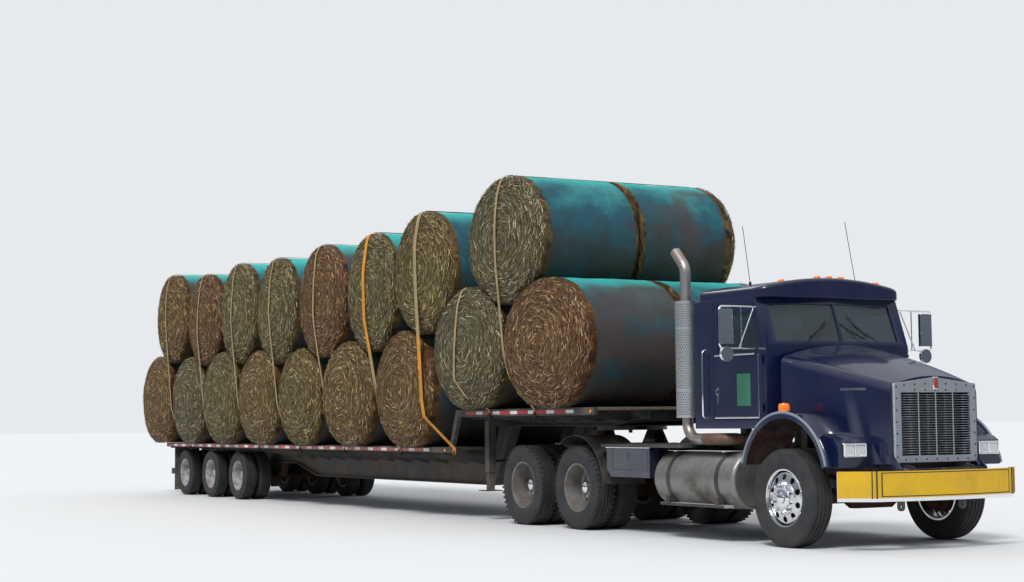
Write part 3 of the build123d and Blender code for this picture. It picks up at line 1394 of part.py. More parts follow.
# Fifth wheel: a round-fronted top plate with its throat open to the rear, on two upright cheeks
# that stand on the rails. The coupling pin turns in the bore at the throat's head.
plate_top = COUPLING_Z - SEAT
CHEEK_T = 60
CHEEK_Y = 380
THROAT_W = 110
with BuildPart() as fifth_wheel:
    with BuildSketch(Plane.XY.offset(plate_top - PLATE_T)):
        with Locations((STEER_X + COUPLING_X, 0)):
            Circle(PLATE_R)
        with BuildLine():
            pin_x = STEER_X + COUPLING_X
            throat_x = pin_x - 3 * COUPLING_PIN_R
            Polyline(
                (throat_x, THROAT_W / 4),
                (pin_x - PLATE_R, THROAT_W * 1.6),
                (pin_x - 2 * PLATE_R, THROAT_W * 1.6),
                (pin_x - 2 * PLATE_R, -THROAT_W * 1.6),
                (pin_x - PLATE_R, -THROAT_W * 1.6),
                (throat_x, -THROAT_W / 4),
                close=True,
            )
        make_face(mode=Mode.SUBTRACT)
        with Locations((pin_x, 0)):
            Circle(COUPLING_PIN_R + RUN, mode=Mode.SUBTRACT)
    extrude(amount=PLATE_T)
    for _, side in SIDES:
        with BuildSketch(outward(pin_x, CHEEK_Y - CHEEK_T / 2, 0, side)):
            with BuildLine():
                Polyline(
                    (-280, -side * (RAIL_TOP + SEAT)),
                    (280, -side * (RAIL_TOP + SEAT)),
                    (120, -side * (plate_top - PLATE_T / 2)),
                    (-120, -side * (plate_top - PLATE_T / 2)),
                    close=True,
                )
            make_face()
        extrude(amount=CHEEK_T)
fifth_wheel.part.label = "fifth_wheel"
export_step(fifth_wheel.part, "parts/fifth_wheel.step")

# Trailer frame: two deep beams that step up to the front deck, tied by cross members whose
# tapered ends carry the side rails. The coupler plate and its pin are under the front end.
deck_rear = STEER_X + DECK_REAR
deck_step = STEER_X + DECK_STEP
step_head = deck_step + STEP_LEAN
deck_nose = STEER_X + DECK_NOSE
lower_beam_top = LOWER_DECK - DECK_T - SEAT
upper_beam_top = UPPER_DECK - DECK_T - SEAT
zone_front = STEER_X + TRAILER_XS[0] + AXLE_ZONE
beam_outline = [
    (deck_rear, lower_beam_top),
    (deck_step - STEP_INSET, lower_beam_top),
    (step_head - STEP_INSET, upper_beam_top),
    (deck_nose - EDGE_W, upper_beam_top),
    (deck_nose - EDGE_W, upper_beam_top - NOSE_DEPTH),
    (deck_nose - NOSE_TAPER, UPPER_BEAM_FOOT),
    (step_head + STEP_HEEL, UPPER_BEAM_FOOT),
    (deck_step - EDGE_W, BEAM_FOOT),
    (zone_front + BEAM_TAPER, BEAM_FOOT),
    (zone_front, BEAM_FOOT_REAR),
    (deck_rear, BEAM_FOOT_REAR),
]
rail_inner = DECK_HALF_W - EDGE_W
# first place, place where the row ends, top and root depth of the cross members
zone_count = int((zone_front - deck_rear - EDGE_W) / MEMBER_PITCH) + 1
MEMBER_ROWS = (
    (deck_rear + EDGE_W, zone_front, lower_beam_top, MEMBER_ROOT_WHEELS),
    (deck_rear + EDGE_W + zone_count * MEMBER_PITCH, deck_step, lower_beam_top, MEMBER_ROOT),
    (step_head + EDGE_W, deck_nose, upper_beam_top, MEMBER_ROOT_UPPER),
)


def cross_member(x, top, root):
    """A plate across the frame, deepest between the beams, with its tips under the side rails."""
    with BuildPart() as member:
        with BuildSketch(Plane.YZ.offset(x)):
            with BuildLine():
                Polyline(
                    (-rail_inner, top),
                    (rail_inner, top),
                    (rail_inner, top - MEMBER_TIP),
                    (BEAM_Y, top - root),
                    (-BEAM_Y, top - root),
                    (-rail_inner, top - MEMBER_TIP),
                    close=True,
                )
            make_face()
        extrude(amount=MEMBER_T)
    return member.part


with BuildPart() as trailer_frame:
    with BuildSketch(Plane.XZ.offset(-BEAM_Y + BEAM_WEB / 2)):
        with BuildLine():
            Polyline(*beam_outline, close=True)
        make_face()
    extrude(amount=-BEAM_WEB)
    with BuildSketch(Plane.XZ.offset(-BEAM_Y + BEAM_FLANGE / 2)):
        with BuildLine():
            Polyline(*beam_outline, close=True)
        make_face()
        offset(amount=-BEAM_WEB, mode=Mode.SUBTRACT, kind=Kind.INTERSECTION)
    extrude(amount=-BEAM_FLANGE)
    mirror(about=Plane.XZ)
    for first, last, top, root in MEMBER_ROWS:
        for number in range(int((last - first) / MEMBER_PITCH) + 1):
            add(cross_member(first + number * MEMBER_PITCH, top, root))
    with Locations((STEER_X + TRAILER_FLAP_X + FLAP_BAR / 2, 0, lower_beam_top - FLAP_BAR / 2)):
        Box(FLAP_BAR, 2 * rail_inner, FLAP_BAR)
    with BuildSketch(Plane.XY.offset(COUPLING_Z)):
        with Locations((pin_x, 0)):
            Rectangle(COUPLER_L, 2 * BEAM_Y)
    extrude(amount=COUPLER_T + UPPER_BEAM_FOOT - COUPLING_Z - COUPLER_T / 2)
    with BuildSketch(Plane.XY.offset(COUPLING_Z)):
        with Locations((pin_x, 0)):
            Circle(COUPLING_PIN_R)
    extrude(amount=-COUPLING_PIN_L)
trailer_frame.part.label = "trailer_frame"
export_step(trailer_frame.part, "parts/trailer_frame.step")

# Side rails: a channel-deep edge along each deck, with the slanted post at the step. The boards
# of each deck lie between them.
with BuildPart() as side_rails:
    for _, side in SIDES:
        with BuildSketch(outward(0, DECK_HALF_W - EDGE_W + SEAT, 0, side)):
            with BuildLine():
                outline = [
                    (deck_rear, LOWER_DECK - LOWER_EDGE_H),
                    (deck_step, LOWER_DECK - LOWER_EDGE_H),
                    (step_head, UPPER_DECK - UPPER_EDGE_H),
                    (deck_nose, UPPER_DECK - UPPER_EDGE_H),
                    (deck_nose, UPPER_DECK),
                    (step_head - EDGE_W, UPPER_DECK),
                    (deck_step - EDGE_W, LOWER_DECK),
                    (deck_rear, LOWER_DECK),
                ]
                Polyline(*[(x, -side * z) for x, z in outline], close=True)
            make_face()
        extrude(amount=EDGE_W - SEAT)
side_rails.part.label = "side_rails"
export_step(side_rails.part, "parts/side_rails.step")

for deck_name, rear, front, top in (
    ("lower_deck", deck_rear, deck_step - EDGE_W - SEAT, LOWER_DECK),
    ("upper_deck", step_head - EDGE_W + SEAT, deck_nose, UPPER_DECK),
):
    with BuildPart() as deck:
        with Locations(((rear + front) / 2, 0, top - DECK_T / 2)):
            Box(front - rear, 2 * (DECK_HALF_W - EDGE_W - SEAT), DECK_T)
    deck.part.label = deck_name
    export_step(deck.part, f"parts/{deck_name}.step")

# Landing gear: two telescopic legs, wound up, with flared feet and a cross shaft between them.
leg_x = STEER_X + LEG_X
with BuildPart() as landing_gear:
    for _, side in SIDES:
        with BuildSketch(Plane.XY.offset(LEG_CASE_FOOT)):
            with Locations((leg_x, side * LEG_Y)):
                Rectangle(LEG_W, LEG_W)
        extrude(amount=UPPER_BEAM_FOOT - LEG_CASE_FOOT)
        with BuildSketch(Plane.XY.offset(LEG_FOOT + FOOT_T)):
            with Locations((leg_x, side * LEG_Y)):
                Rectangle(LEG_W - 2 * LEG_CASE_WALL, LEG_W - 2 * LEG_CASE_WALL)
        extrude(amount=LEG_CASE_FOOT - LEG_FOOT)
        with BuildSketch(Plane.XY.offset(LEG_FOOT)):
            with Locations((leg_x, side * LEG_Y)):
                Rectangle(FOOT_W, FOOT_W)
        extrude(amount=FOOT_T)
        with BuildSketch(outward(leg_x, BEAM_Y + BEAM_FLANGE / 2 + SEAT, 0, side)):
            with Locations((0, -side * (UPPER_BEAM_FOOT + LEG_ARM_H / 2))):
                Rectangle(LEG_W, LEG_ARM_H)
        extrude(amount=LEG_Y + LEG_W / 2 - BEAM_Y - BEAM_FLANGE / 2 - SEAT)
    with BuildSketch(Plane.XZ):
        with Locations((leg_x, LEG_CASE_FOOT + LEG_SHAFT_RISE)):
            Circle(LEG_SHAFT_R)
    extrude(amount=LEG_Y, both=True)
landing_gear.part.label = "landing_gear"
export_step(landing_gear.part, "parts/landing_gear.step")

# Trailer axles: a tube with a spindle at each end, held by a trailing arm under each beam and a
# round air spring behind it.
trailer_inner = TRAILER_OUT - TRAILER_PITCH - TRAILER_TYRE_W
HANGER_REACH = 480      # from the axle forward to its hanger
HANGER_W = 130
HANGER_LEAN = 30
AIR_SPRING_R = 110
AIR_SPRING_X = -210
SHELF_REACH = 60        # of the arm behind the air spring's middle
SHELF_H = 30            # of the arm above and below the axle's middle
SPINDLE_STEP = 5        # how far the tube ends short of the wheels
ARM_W = 70
ARM_H = 90
with BuildPart() as trailer_axles:
    for axle_x in TRAILER_XS:
        x = STEER_X + axle_x
        for half_length, radius in (
            (trailer_inner - SPINDLE_STEP, TRAILER_TUBE_R),
            (trailer_spindle_end, SPINDLE_R),
        ):
            with BuildSketch(Plane.XZ):
                with Locations((x, TRAILER_TYRE_R)):
                    Circle(radius)
            extrude(amount=half_length, both=True)
        for _, side in SIDES:
            with BuildSketch(outward(x, BEAM_Y - ARM_W / 2, 0, side)):
                with BuildLine():
                    outline = [
                        (HANGER_REACH, BEAM_FOOT_REAR - SEAT),
                        (HANGER_REACH, TRAILER_TYRE_R - SHELF_H),
                        (AIR_SPRING_X - SHELF_REACH, TRAILER_TYRE_R - SHELF_H),
                        (AIR_SPRING_X - SHELF_REACH, TRAILER_TYRE_R + SHELF_H),
                        (HANGER_REACH - HANGER_W, TRAILER_TYRE_R + ARM_H),
                        (HANGER_REACH - HANGER_W - HANGER_LEAN, BEAM_FOOT_REAR - SEAT),
                    ]
                    Polyline(*[(px, -side * pz) for px, pz in outline], close=True)
                make_face()
            extrude(amount=ARM_W)
            with BuildSketch(Plane.XY.offset(TRAILER_TYRE_R)):
                with Locations((x + AIR_SPRING_X, side * BEAM_Y)):
                    Circle(AIR_SPRING_R)
            extrude(amount=BEAM_FOOT_REAR - SEAT - TRAILER_TYRE_R)
trailer_axles.part.label = "trailer_axles"
export_step(trailer_axles.part, "parts/trailer_axles.step")

# Rear guard: a cross bar on two posts under the deck's end.
with BuildPart() as rear_guard:
    with BuildSketch(Plane.YZ.offset(STEER_X + GUARD_X)):
        with Locations((0, GUARD_FOOT + GUARD_H / 2)):
            Rectangle(2 * (DECK_HALF_W - GUARD_T), GUARD_H)
        for _, side in SIDES:
            with Locations((side * BEAM_Y, (GUARD_FOOT + BEAM_FOOT_REAR - SEAT) / 2)):
                Rectangle(GUARD_POST_W, BEAM_FOOT_REAR - SEAT - GUARD_FOOT)
    extrude(amount=GUARD_T)
rear_guard.part.label = "rear_guard"
export_step(rear_guard.part, "parts/rear_guard.step")

# Bales: each is a many-sided oval drum that lies across the lorry, two to a row. A lower bale is
# flat where it rests on its deck, an upper one where it beds on the two under it.
def bale_outline(half_l, half_h, growth=0):
    """An oval's corners by formula, with a corner at each end."""
    turns = [2 * pi * number / BALE_SIDES for number in range(BALE_SIDES)]
    return [((half_l + growth) * cos(t), (half_h + growth) * sin(t)) for t in turns]


def bale_row(x, z, half_l, half_h, growth=0):
    """The two bales of a row, or the room they take."""
    with BuildPart() as row:
        for _, side in SIDES:
            with BuildSketch(outward(x, BALE_GAP / 2, z, side)):
                with BuildLine():
                    Polyline(*bale_outline(half_l, half_h, growth), close=True)
                make_face()
            extrude(amount=BALE_LENGTH)
    return row.part


lower_rows = []
for bale_x, half_l, height in LOWER_BALES:
    deck_top = UPPER_DECK if bale_x > DECK_STEP else LOWER_DECK
    half_h = (height + BALE_SETTLE) / 2
    lower_rows.append((STEER_X + bale_x, deck_top + height - half_h, half_l, half_h, deck_top))

# Neighbours in the lower row press flat against each other, a hair apart.
press_planes = [
    (low[0] + low[2] + high[0] - high[2]) / 2 for low, high in zip(lower_rows, lower_rows[1:])
]
with BuildPart() as hay_bales_lower:
    for x, z, half_l, half_h, _ in lower_rows:
        with BuildPart() as pressed:
            add(bale_row(x, z, half_l, half_h))
            for plane_x in press_planes:
                if abs(plane_x - x) < half_l:
                    away = 1 if plane_x > x else -1
                    split(
                        bisect_by=Plane(
                            origin=(plane_x - away * SEAT, 0, 0), z_dir=(-away, 0, 0)
                        ),
                        keep=Keep.TOP,
                    )
        add(pressed.part)
    for x, z, half_l, half_h, deck_top in lower_rows:
        with Locations((x, 0, deck_top + SEAT)):
            Box(
                2 * half_l,
                4 * DECK_HALF_W,
                2 * BALE_SETTLE,
                align=(Align.CENTER, Align.CENTER, Align.MAX),
                mode=Mode.SUBTRACT,
            )
hay_bales_lower.part.label = "hay_bales_lower"
export_step(hay_bales_lower.part, "parts/hay_bales_lower.step")

upper_rows = []
for bale_x, half_l, top, height in UPPER_BALES:
    upper_rows.append((STEER_X + bale_x, top - height / 2, half_l, height / 2))
with BuildPart() as hay_bales_upper:
    for x, z, half_l, half_h in upper_rows:
        add(bale_row(x, z, half_l, half_h))
    for x, z, half_l, half_h, _ in lower_rows:
        add(bale_row(x, z, half_l, half_h, SEAT), mode=Mode.SUBTRACT)
hay_bales_upper.part.label = "hay_bales_upper"
export_step(hay_bales_upper.part, "parts/hay_bales_upper.step")

# Load straps: flat bands over each upper pair and over the first row's crown. They slant down the
# bales' ends to the valleys between the lower bales, and run in there to the side rails.
STRAP_RELEASE = 430     # height above the deck where a strap leaves the bales' ends
CROWN_STRAP_X = -6330   # the strap over the lower row that no upper bale hides
CROWN_STRAP_FOOT = -6500
strap_y = BALE_GAP / 2 + BALE_LENGTH + SEAT
hook_y = DECK_HALF_W + SEAT
# place on the crown, place at the foot, height of the crown, of the release and of the deck
strap_rows = []
for x, z, _, half_h in upper_rows:
    foot_x = min(press_planes, key=lambda plane_x: abs(plane_x - x))
    deck_top = UPPER_DECK if foot_x > deck_step else LOWER_DECK
    strap_rows.append((x, foot_x, z + half_h + SEAT, deck_top + STRAP_RELEASE, deck_top))
crown_x, crown_z, crown_l, crown_h, crown_deck = lower_rows[7]
crown_slope = crown_h * (1 - cos(2 * pi / BALE_SIDES)) / (crown_l * sin(2 * pi / BALE_SIDES))
crown_off = crown_x - STEER_X - CROWN_STRAP_X - STRAP_BAND_W / 2
strap_rows.append(
    (
        STEER_X + CROWN_STRAP_X,
        STEER_X + CROWN_STRAP_FOOT,
        crown_z + crown_h - crown_slope * crown_off + SEAT,
        crown_deck - 2 * STRAP_BAND_T,
        crown_deck,
    )
)
with BuildPart() as load_straps:
    for x, foot_x, top, release, deck_top in strap_rows:
        with BuildSketch(Plane.YZ.offset(x - STRAP_BAND_W / 2)):
            with Locations((0, top + STRAP_BAND_T / 2)):
                Rectangle(2 * (strap_y + STRAP_BAND_T), STRAP_BAND_T)
        extrude(amount=STRAP_BAND_W)
        for _, side in SIDES:
            with BuildSketch(outward(0, strap_y, 0, side)):
                with BuildLine():
                    outline = [
                        (x - STRAP_BAND_W / 2, top + STRAP_BAND_T),
                        (x + STRAP_BAND_W / 2, top + STRAP_BAND_T),
                        (foot_x + STRAP_BAND_W / 2, release),
                        (foot_x - STRAP_BAND_W / 2, release),
                    ]
                    Polyline(*[(px, -side * pz) for px, pz in outline], close=True)
                make_face()
            extrude(amount=STRAP_BAND_T)
            with BuildSketch(Plane.YZ.offset(foot_x - STRAP_BAND_W / 2)):
                with BuildLine():
                    outline = [
                        (strap_y, release),
                        (strap_y + STRAP_BAND_T, release),
                        (hook_y + STRAP_BAND_T, deck_top - LOWER_EDGE_H / 4),
                        (hook_y + STRAP_BAND_T, deck_top - LOWER_EDGE_H * 0.8),
                        (hook_y, deck_top - LOWER_EDGE_H * 0.8),
                        (hook_y, deck_top - LOWER_EDGE_H / 4),
                    ]
                    Polyline(*[(side * y, z) for y, z in outline], close=True)
                make_face()
            extrude(amount=STRAP_BAND_W)
load_straps.part.label = "load_straps"
export_step(load_straps.part, "parts/load_straps.step")

# Mud flaps hang from their bar behind the trailer's last wheels.
with BuildPart() as trailer_flaps:
    for _, side in SIDES:
        with BuildSketch(Plane.YZ.offset(STEER_X + TRAILER_FLAP_X - SEAT)):
            with Locations(
                (
                    side * (trailer_inner + rail_inner) / 2,
                    (TRAILER_FLAP_FOOT + lower_beam_top - SEAT) / 2,
                )
            ):
                Rectangle(rail_inner - trailer_inner, lower_beam_top - SEAT - TRAILER_FLAP_FOOT)
        extrude(amount=-MUD_FLAP_T)
trailer_flaps.part.label = "trailer_flaps"
export_step(trailer_flaps.part, "parts/trailer_flaps.step")
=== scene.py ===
import json
import math
import bmesh
import bpy
import numpy as np
from mathutils import Matrix, Vector, noise
from mathutils.bvhtree import BVHTree

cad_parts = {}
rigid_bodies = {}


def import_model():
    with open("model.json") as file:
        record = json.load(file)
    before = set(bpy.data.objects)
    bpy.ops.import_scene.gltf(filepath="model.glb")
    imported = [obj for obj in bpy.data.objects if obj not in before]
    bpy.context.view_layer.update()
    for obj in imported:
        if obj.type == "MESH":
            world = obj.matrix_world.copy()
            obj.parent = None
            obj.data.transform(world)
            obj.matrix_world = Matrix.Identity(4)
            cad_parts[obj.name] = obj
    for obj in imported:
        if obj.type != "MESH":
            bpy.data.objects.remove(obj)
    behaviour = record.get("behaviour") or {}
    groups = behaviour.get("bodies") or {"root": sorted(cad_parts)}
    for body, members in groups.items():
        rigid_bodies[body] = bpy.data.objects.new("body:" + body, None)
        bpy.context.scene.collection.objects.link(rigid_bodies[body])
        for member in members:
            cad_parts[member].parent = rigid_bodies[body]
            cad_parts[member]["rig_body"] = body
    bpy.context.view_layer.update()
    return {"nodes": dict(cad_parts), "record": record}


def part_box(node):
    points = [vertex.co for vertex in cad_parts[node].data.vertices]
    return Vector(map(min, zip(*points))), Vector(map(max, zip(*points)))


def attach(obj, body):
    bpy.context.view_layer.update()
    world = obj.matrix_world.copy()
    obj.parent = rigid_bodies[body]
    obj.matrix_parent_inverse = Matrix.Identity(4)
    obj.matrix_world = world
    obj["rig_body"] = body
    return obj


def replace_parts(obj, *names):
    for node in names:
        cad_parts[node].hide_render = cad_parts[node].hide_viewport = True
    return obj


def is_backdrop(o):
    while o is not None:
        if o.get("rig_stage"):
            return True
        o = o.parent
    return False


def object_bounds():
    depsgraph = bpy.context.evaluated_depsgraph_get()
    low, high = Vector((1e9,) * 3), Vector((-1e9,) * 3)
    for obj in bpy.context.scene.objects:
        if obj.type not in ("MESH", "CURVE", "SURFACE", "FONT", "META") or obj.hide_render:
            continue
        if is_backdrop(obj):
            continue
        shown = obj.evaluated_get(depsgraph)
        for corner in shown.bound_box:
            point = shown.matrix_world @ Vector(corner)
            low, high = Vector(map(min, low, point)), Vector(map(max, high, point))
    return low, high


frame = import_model()
SIDES = (("left", 1), ("right", -1))

# Camera: at the roadside ahead of the lorry's right front corner, a long lens just above
# wheel height, a little tilted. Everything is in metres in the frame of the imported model.
CAMERA_AT = Vector((24.066, -12.836, 1.339))
CAMERA_YAW = math.radians(150.227)
CAMERA_PITCH = math.radians(4.127)
CAMERA_ROLL = math.radians(-0.602)
CAMERA_LENS = 63.094
CAMERA_SENSOR = 36.0
CAMERA_SIGHT = 500
scene = bpy.context.scene
look = Vector((
    math.cos(CAMERA_PITCH) * math.cos(CAMERA_YAW),
    math.cos(CAMERA_PITCH) * math.sin(CAMERA_YAW),
    math.sin(CAMERA_PITCH),
))
level = look.cross(Vector((0, 0, 1))).normalized()
above = level.cross(look)
right = math.cos(CAMERA_ROLL) * level + math.sin(CAMERA_ROLL) * above
up = math.cos(CAMERA_ROLL) * above - math.sin(CAMERA_ROLL) * level
camera = bpy.data.objects.new("camera", bpy.data.cameras.new("camera"))
camera.data.lens = CAMERA_LENS
camera.data.sensor_width = CAMERA_SENSOR
camera.data.sensor_fit = "HORIZONTAL"
camera.data.clip_end = CAMERA_SIGHT
turn = Matrix((right, up, -look)).transposed().to_4x4()
camera.matrix_world = Matrix.Translation(CAMERA_AT) @ turn
scene.collection.objects.link(camera)
scene.camera = camera
scene.view_settings.view_transform = "Standard"

# Studio: a wide pale floor that runs out into a pale backdrop, a soft sky that lights from all
# round, one broad lamp high over the right front corner and a weaker one behind for the rims.
FLOOR_HALF, FLOOR_COLOUR, FLOOR_ROUGH = 260.0, (0.66, 0.67, 0.68, 1), 0.9
BACKDROP = (0.80, 0.82, 0.85, 1)
SKY_LIGHT = 0.80
SKY = ((0.0, (0.07, 0.09, 0.12)), (0.22, (0.34, 0.40, 0.48)), (0.75, (1.0, 1.0, 1.0)))
LAMPS = (("key", 2.3, 0.30, (-0.50, 0.62, -0.95)), ("back", 0.55, 0.60, (0.85, -0.10, -0.75)))


def feed(tree, made, **values):
    """Sets a node's inputs, by name or as i and a number. A socket or a node is linked."""
    for label, value in values.items():
        numbered = label[0] == "i" and label[1:].isdigit()
        socket = made.inputs[int(label[1:]) if numbered else label.replace("_", " ")]
        if isinstance(value, bpy.types.Node):
            value = value.outputs[0]
        if isinstance(value, bpy.types.NodeSocket):
            tree.links.new(value, socket)
        else:
            socket.default_value = value
    return made


def node(tree, kind, settings=None, **values):
    """A new node with its settings and its input values."""
    made = tree.nodes.new(kind)
    for label, value in (settings or {}).items():
        setattr(made, label, value)
    return feed(tree, made, **values)


def tones(tree, value, *stops):
    """The colour at a value between (place, colour) stops."""
    made = node(tree, "ShaderNodeValToRGB", Fac=value)
    marks = made.color_ramp.elements
    for mark, (at, colour) in zip(marks, (stops[0], stops[-1])):
        mark.position, mark.color = at, (*colour, 1)
    for at, colour in stops[1:-1]:
        marks.new(at).color = (*colour, 1)
    return made.outputs["Color"]


def new_material(name):
    """A node material."""
    made = bpy.data.materials.new(name)
    made.use_nodes = True
    return made


def shade(made, **values):
    """Sets a material's look; constant values sit on the shader's own sockets."""
    feed(made.node_tree, made.node_tree.nodes["Principled BSDF"], **values)
    return made


def mesh_object(name, points, faces, materials, slots=None, smooth=True):
    """A new mesh object at the origin, its place in its mesh."""
    mesh = bpy.data.meshes.new(name)
    mesh.from_pydata([tuple(p) for p in points], [], [tuple(f) for f in faces])
    for one in materials:
        mesh.materials.append(one)
    if slots is not None:
        mesh.polygons.foreach_set("material_index", np.array(slots, np.int32))
    if smooth:
        mesh.polygons.foreach_set("use_smooth", np.ones(len(mesh.polygons), bool))
    mesh.validate()
    mesh.update()
    made = bpy.data.objects.new(name, mesh)
    scene.collection.objects.link(made)
    return made


corners = [(x * FLOOR_HALF, y * FLOOR_HALF, 0) for x, y in ((-1, -1), (1, -1), (1, 1), (-1, 1))]
floor_mat = shade(new_material("studio_floor"), Base_Color=FLOOR_COLOUR, Roughness=FLOOR_ROUGH)
floor = mesh_object("studio_floor", corners, [(0, 1, 2, 3)], [floor_mat])
floor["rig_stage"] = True
world = bpy.data.worlds.new("studio")
world.use_nodes = True
scene.world = world
tree = world.node_tree
place = node(tree, "ShaderNodeTexCoord").outputs["Generated"]
height = node(tree, "ShaderNodeSeparateXYZ", Vector=place).outputs["Z"]
sky = feed(tree, tree.nodes["Background"], Color=tones(tree, height, *SKY), Strength=SKY_LIGHT)
seen = node(tree, "ShaderNodeBackground", Color=BACKDROP, Strength=1.0)
ray = node(tree, "ShaderNodeLightPath").outputs["Is Camera Ray"]
either = node(tree, "ShaderNodeMixShader", i0=ray, i1=sky, i2=seen)
feed(tree, tree.nodes["World Output"], Surface=either)
for name, strength, spread, direction in LAMPS:
    lamp = bpy.data.objects.new(name, bpy.data.lights.new(name, "SUN"))
    lamp.data.energy = strength
    lamp.data.angle = spread
    lamp.rotation_mode = "QUATERNION"
    lamp.rotation_quaternion = Vector(direction).to_track_quat("-Z", "Y")
    scene.collection.objects.link(lamp)

# Tractor and trailer frames: rolled steel channels and plates under thin black paint, dusty low
# down and rusty in patches. The same weathering is used on every hard finish of the lorry.
COLOUR, NUMBER, VECTOR = "NodeSocketColor", "NodeSocketFloat", "NodeSocketVector"
ROAD_DUST = (0.17, 0.14, 0.11)
RUST = (0.13, 0.05, 0.02)
RELIEF, COAT_ROUGH = 0.004, 0.06


def group(name, ins, outs):
    """A shader node group. Returns its tree, its given sockets and those it hands out."""
    tree = bpy.data.node_groups.new(name, "ShaderNodeTree")
    for label, kind, value in ins:
        tree.interface.new_socket(label, in_out="INPUT", socket_type=kind).default_value = value
    for label, kind in outs:
        tree.interface.new_socket(label, in_out="OUTPUT", socket_type=kind)
    return tree, tree.nodes.new("NodeGroupInput").outputs, tree.nodes.new("NodeGroupOutput")


def maths(tree, operation, *values, clamp=False):
    """The result of one step of arithmetic."""
    numbered = {f"i{number}": value for number, value in enumerate(values)}
    settings = {"operation": operation, "use_clamp": clamp}
    return node(tree, "ShaderNodeMath", settings, **numbered).outputs[0]


def fractal(tree, place, scale, detail, **more):
    """Cloudy noise."""
    made = node(tree, "ShaderNodeTexNoise", Vector=place, Scale=scale, Detail=detail, **more)
    return made.outputs["Fac"]


def between(tree, value, low, high, top=1.0):
    """0 at low, top at high, even between them."""
    made = node(tree, "ShaderNodeMapRange", Value=value, From_Min=low, From_Max=high, To_Max=top)
    return made.outputs[0]


def mixed(tree, share, a, b, blend="MIX"):
    """Two colours as one."""
    settings = {"data_type": "RGBA", "blend_type": blend}
    return node(tree, "ShaderNodeMix", settings, i0=share, i6=a, i7=b).outputs[2]


def object_place(tree):
    """Where a point is on its piece."""
    return node(tree, "ShaderNodeTexCoord").outputs["Object"]


weather, given, out = group(
    "weathering",
    [
        ("Colour", COLOUR, (0.5, 0.5, 0.5, 1)), ("Dirt", COLOUR, (0.16, 0.13, 0.10, 1)),
        ("Amount", NUMBER, 0.3), ("Scale", NUMBER, 3.0), ("Roughness", NUMBER, 0.4),
        ("Low", NUMBER, 0.5),
    ],
    [("Colour", COLOUR), ("Roughness", NUMBER), ("Height", NUMBER)],
)
place = object_place(weather)
patches = fractal(weather, place, given["Scale"], 8.0, Roughness=0.65)
grain = fractal(weather, place, 60.0, 4.0)
height = node(weather, "ShaderNodeSeparateXYZ", Vector=place).outputs["Z"]
low = maths(weather, "MULTIPLY", between(weather, height, 1.1, 0.1), given["Low"])
spots = maths(weather, "ADD", between(weather, patches, 0.42, 0.72), low)
mask = maths(weather, "MULTIPLY", spots, given["Amount"], clamp=True)
feed(weather, out, Colour=mixed(weather, mask, given["Colour"], given["Dirt"]),
     Roughness=maths(weather, "MULTIPLY_ADD", mask, 0.5, given["Roughness"], clamp=True),
     Height=maths(weather, "MULTIPLY_ADD", grain, 0.3, mask))


def finish(name, colour, roughness, metallic=0.0, coat=0.0, dirt=ROAD_DUST, amount=0.3, scale=3.0,
           low_dirt=0.5, bump=0.15):
    """A weathered hard finish."""
    made = new_material(name)
    tree = made.node_tree
    worn = node(tree, "ShaderNodeGroup", {"node_tree": weather}, Colour=(*colour, 1),
                Dirt=(*dirt, 1), Amount=amount, Scale=scale, Roughness=roughness,
                Low=low_dirt).outputs
    relief = node(tree, "ShaderNodeBump", Strength=bump, Distance=RELIEF, Height=worn["Height"])
    return shade(made, Base_Color=worn["Colour"], Roughness=worn["Roughness"], Normal=relief,
                 Metallic=metallic, Coat_Weight=coat, Coat_Roughness=COAT_ROUGH)


def merged(source, flat_angle=0.6):
    """A node's mesh with its loose triangles joined and its flat faces whole again."""
    shape = bmesh.new()
    shape.from_mesh(frame["nodes"][source].data)
    bmesh.ops.remove_doubles(shape, verts=shape.verts, dist=2e-5)
    bmesh.ops.dissolve_limit(
        shape, angle_limit=math.radians(flat_angle), verts=shape.verts, edges=shape.edges
    )
    return shape


def body_of(source):
    """The body that a node rides on."""
    return frame["nodes"][source]["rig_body"]


def hung(piece, body):
    """Puts a piece on its body."""
    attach(piece, body)
    return piece


def applied(piece):
    """Applies a piece's modifiers. Returns its mesh."""
    bpy.context.view_layer.update()
    seen_now = bpy.context.evaluated_depsgraph_get()
    ready = bpy.data.meshes.new_from_object(piece.evaluated_get(seen_now))
    piece.modifiers.clear()
    piece.data = ready
    return ready


def settle(piece, body, slot, *sources, sharp=38):
    """Applies a piece's modifiers, smooths its round faces and hangs it on its body.

    Without a sharp angle the piece keeps the smoothing that its modifiers gave it."""
    ready = applied(piece)
    if sharp:
        ready.polygons.foreach_set("use_smooth", np.ones(len(ready.polygons), bool))
        ready.set_sharp_from_angle(angle=math.radians(sharp))
    hung(piece, body)
    if sources:
        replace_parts(piece, *sources)
    return piece


